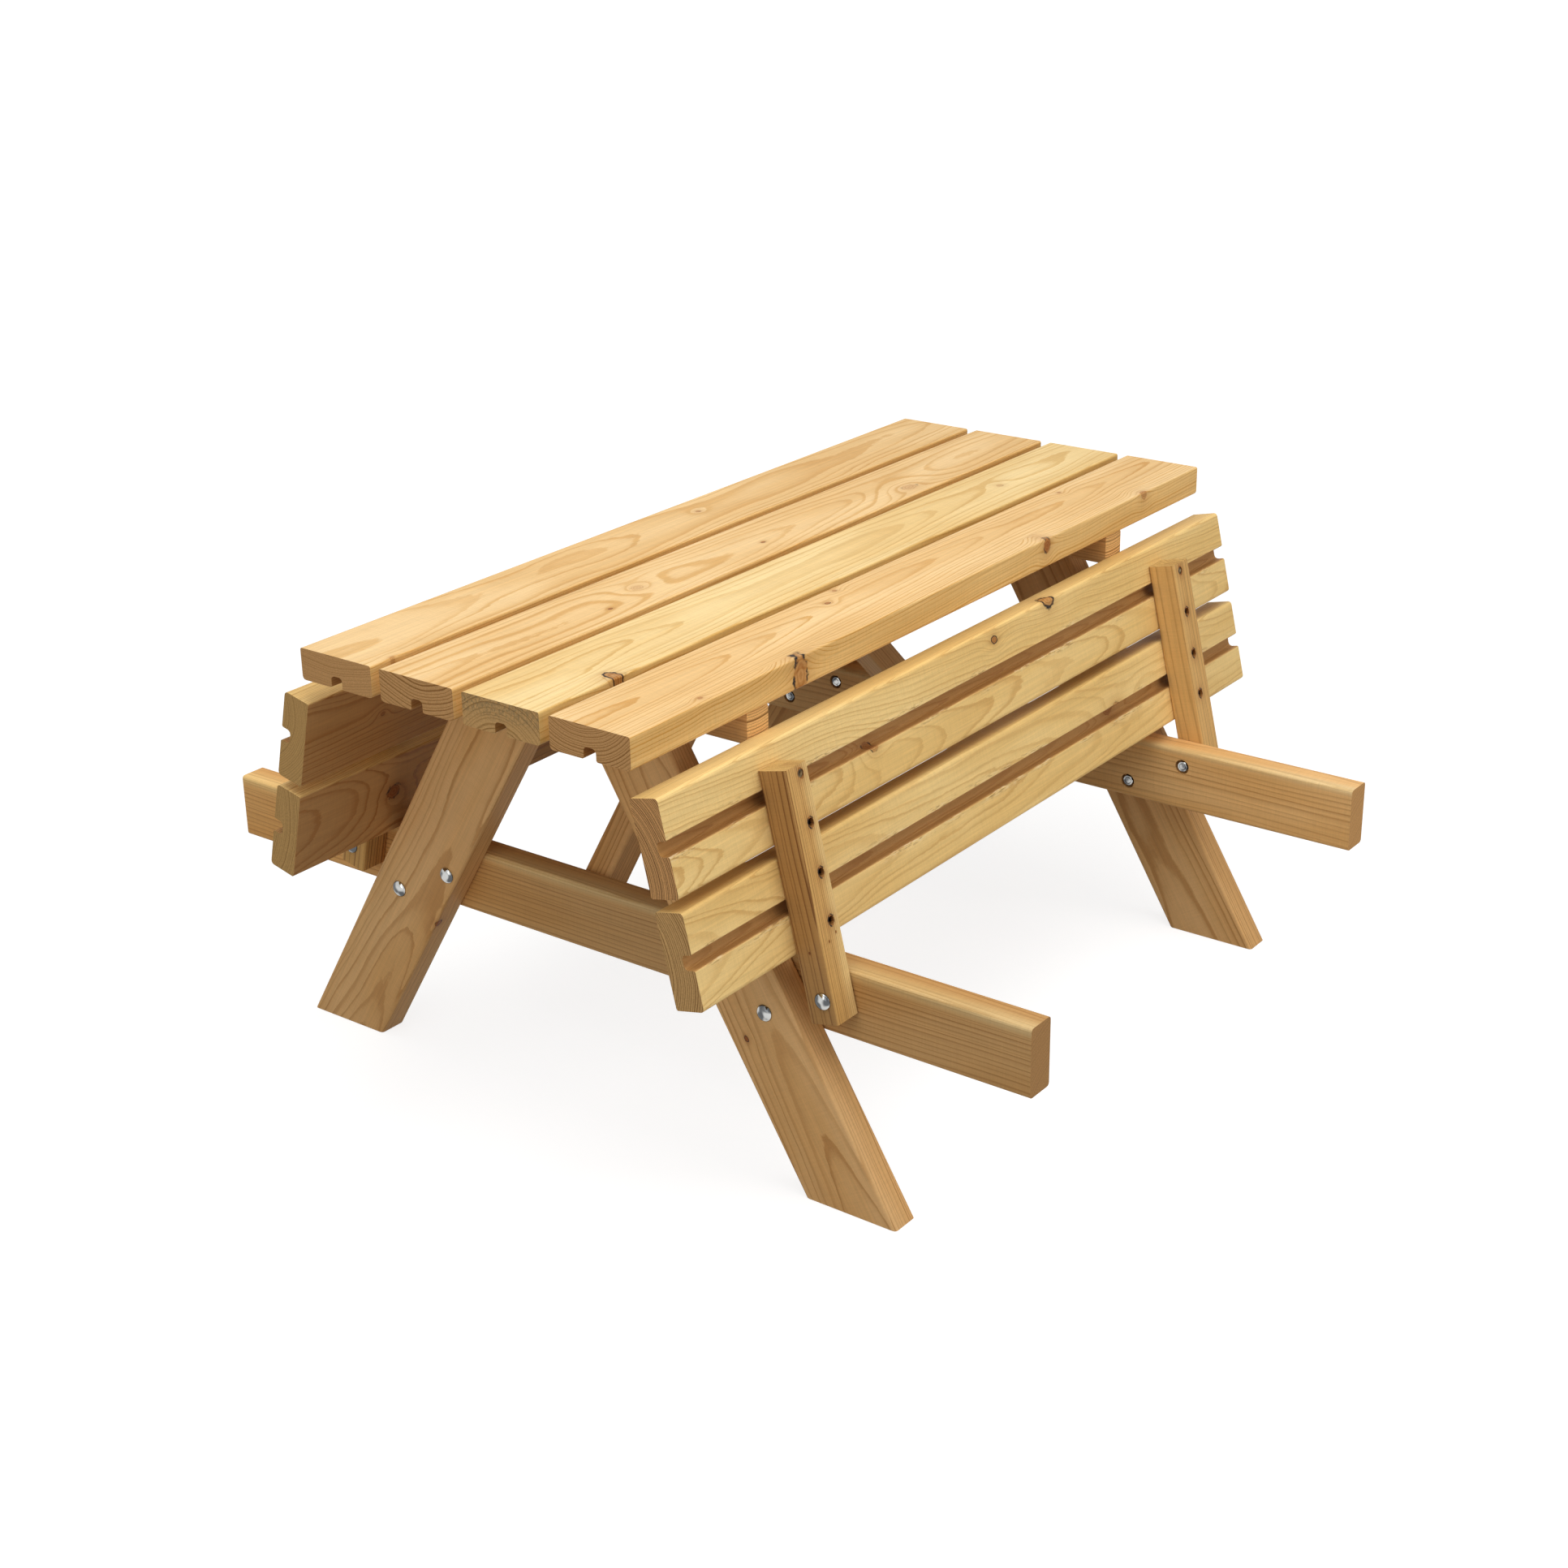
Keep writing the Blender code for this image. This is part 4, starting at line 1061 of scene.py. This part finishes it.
def fit_hardware():
    """Finer bolts, washers and nuts where the plain ones are."""
    masters = {"washer": flat_washer(), "nut": hexagon_nut()}
    for node in [node for node in nodes if node.endswith(("_bolt", "_washer", "_nut"))]:
        low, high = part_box(node)
        middle = (low + high) / 2
        end = 1 if middle.x > 0 else -1
        kind = node.rsplit("_", 1)[1]
        body = node.split("_")[0] + "_bench" if "_pivot_" in node else "table_frame"
        if kind == "bolt":
            length = high.x - low.x - BOLT_HEAD_HEIGHT
            if "bolt" not in masters:
                masters["bolt"] = carriage_bolt("carriage_bolt", length)
            middle.x = end * (max(abs(low.x), abs(high.x)) - BOLT_HEAD_HEIGHT)
        place = along_x(end, *middle)
        name = node.replace("_bolt", "_carriage_bolt") + "_piece"
        item = copy_of(masters[kind], name, place, body, ZINC)
        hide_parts(node)
    for master in masters.values():
        bpy.data.objects.remove(master, do_unlink=True)


def head_down(x, y, z):
    """A place with its own +Z turned to point down."""
    return Matrix.Translation((x, y, z)) @ Matrix.Rotation(math.pi, 4, "X")


def seat_screw_places():
    """Screws up through the cleats into the seat boards: four to a cleat."""
    for side_name, side in SIDES.items():
        turn, pivot = bench_turn(side)
        bench = Matrix.Translation(pivot) @ turn.to_4x4()
        for end_name, end in ENDS.items():
            x = end * (CLEAT_X - SEAT_SCREW_INWARD)
            for number, (reach, recess) in enumerate(SEAT_SCREWS):
                z = CLEAT_LEVEL - RAIL_SIZE / 2 + recess
                name = f"{side_name}_{end_name}_seat_screw_{number + 1}"
                yield name, bench @ head_down(x, side * reach, z), f"{side_name}_bench"


def frame_screw_places():
    """Screws of the fixed table: rails and middle cleat to boards, rails to legs, and the braces."""
    z = CARRIER_TOP - RAIL_SIZE + SCREW_RECESS
    shifts = (TOP_SCREW_FROM_MIDDLE, -TOP_SCREW_FROM_MIDDLE)
    for rail, x in RAIL_X.items():
        spots = [(1.5 - board) * TOP_PITCH + shift for board in range(4) for shift in shifts]
        if rail == "middle_top_cleat":
            spots = [y for y in spots if abs(y) < MIDDLE_CLEAT_HALF]
        for number, y in enumerate(spots):
            yield f"{rail}_screw_{number + 1}", head_down(x, y, z)
    height = CARRIER_TOP - RAIL_SIZE / 2
    for end_name, end in ENDS.items():
        x = end * (BEAM_X - RAIL_SIZE / 2 + SCREW_RECESS)
        for side_name, side in SIDES.items():
            for number, shift in enumerate((-LEG_WIDTH / 4, LEG_WIDTH / 4)):
                y = side * (leg_across(height) + shift)
                yield f"{end_name}_{side_name}_rail_screw_{number + 1}", along_x(-end, x, y, height)
        low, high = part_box(f"{end_name}_brace")
        rise = brace_rise(end_name)
        y = (low.y + high.y) / 2
        face = max(abs(low.x), abs(high.x))
        half_foot = RAIL_SIZE / 2 / math.cos(rise)
        half_cut = RAIL_SIZE / 2 / math.sin(rise)
        inward = half_foot / math.tan(rise) - DEEP_RECESS
        yield f"{end_name}_brace_screw_level", along_x(-end, end * (face - inward), y, BEAM_Z)
        head = face - (CARRIER_TOP - BEAM_Z) / math.tan(rise)
        down = half_cut * math.tan(rise) - DEEP_RECESS
        yield f"{end_name}_brace_screw_upright", head_down(end * head, y, CARRIER_TOP - down)


def fit_screws():
    master = wood_screw()
    for name, place, body in seat_screw_places():
        copy_of(master, name, place, body, SCREW_STEEL)
    for name, place in frame_screw_places():
        copy_of(master, name, place, "table_frame", SCREW_STEEL)
    bpy.data.objects.remove(master, do_unlink=True)


fit_hardware()
fit_screws()


# Studio


def studio():
    """A white floor that fades into a white world, one soft lamp overhead and two at the sides."""
    bpy.ops.object.select_all(action="DESELECT")
    bpy.ops.mesh.primitive_plane_add(size=40.0, location=(0, 0, -0.0005))
    floor = bpy.context.object
    floor.name = "floor"
    material = bpy.data.materials.new("floor_paper")
    material.use_nodes = True
    tree = material.node_tree
    shader = tree.nodes["Principled BSDF"]
    shader.inputs["Base Color"].default_value = (0.38, 0.38, 0.38, 1)
    shader.inputs["Roughness"].default_value = 0.9
    shader.inputs["Specular IOR Level"].default_value = 0.0
    path = wire(tree, "ShaderNodeLightPath").outputs
    seen = calc(tree, "MAXIMUM", path["Is Camera Ray"], path["Is Glossy Ray"])
    away = vector_calc(tree, "LENGTH", wire(tree, "ShaderNodeTexCoord").outputs["Object"])
    level = calc(tree, "MULTIPLY_ADD", step_up(tree, away, 0.8, 4.0), 0.20, 0.80)
    strength = calc(tree, "MULTIPLY", seen, level)
    glow = wire(tree, "ShaderNodeEmission", {"Color": (1, 1, 1, 1), "Strength": strength})
    both = wire(tree, "ShaderNodeAddShader", {0: shader.outputs[0], 1: glow.outputs[0]})
    tree.links.new(both.outputs[0], tree.nodes["Material Output"].inputs[0])
    floor.data.materials.append(material)

    world = scene.world or bpy.data.worlds.new("world")
    scene.world = world
    world.use_nodes = True
    tree = world.node_tree
    tree.nodes.clear()
    path = wire(tree, "ShaderNodeLightPath").outputs
    seen = calc(tree, "MAXIMUM", path["Is Camera Ray"], path["Is Glossy Ray"])
    strength = calc(tree, "MULTIPLY_ADD", seen, 0.74, 0.26)
    sky = wire(tree, "ShaderNodeBackground", {"Color": (1, 1, 1, 1), "Strength": strength})
    end = wire(tree, "ShaderNodeOutputWorld")
    tree.links.new(sky.outputs[0], end.inputs[0])

    lamps = (
        ("overhead", (-0.35, -0.35, 2.7), 3.0, 59.0),
        ("right", (0.4, -3.2, 1.5), 2.0, 27.0),
        ("near", (-3.2, -0.6, 1.3), 2.0, 18.0),
    )
    for name, place, size, power in lamps:
        data = bpy.data.lights.new(name, "AREA")
        data.size = size
        data.energy = power
        lamp = bpy.data.objects.new(name, data)
        scene.collection.objects.link(lamp)
        lamp.location = place
        aim = Vector((0, 0, 0.3)) - Vector(place)
        lamp.rotation_euler = aim.to_track_quat("-Z", "Y").to_euler()


studio()
scene.view_settings.view_transform = "Standard"
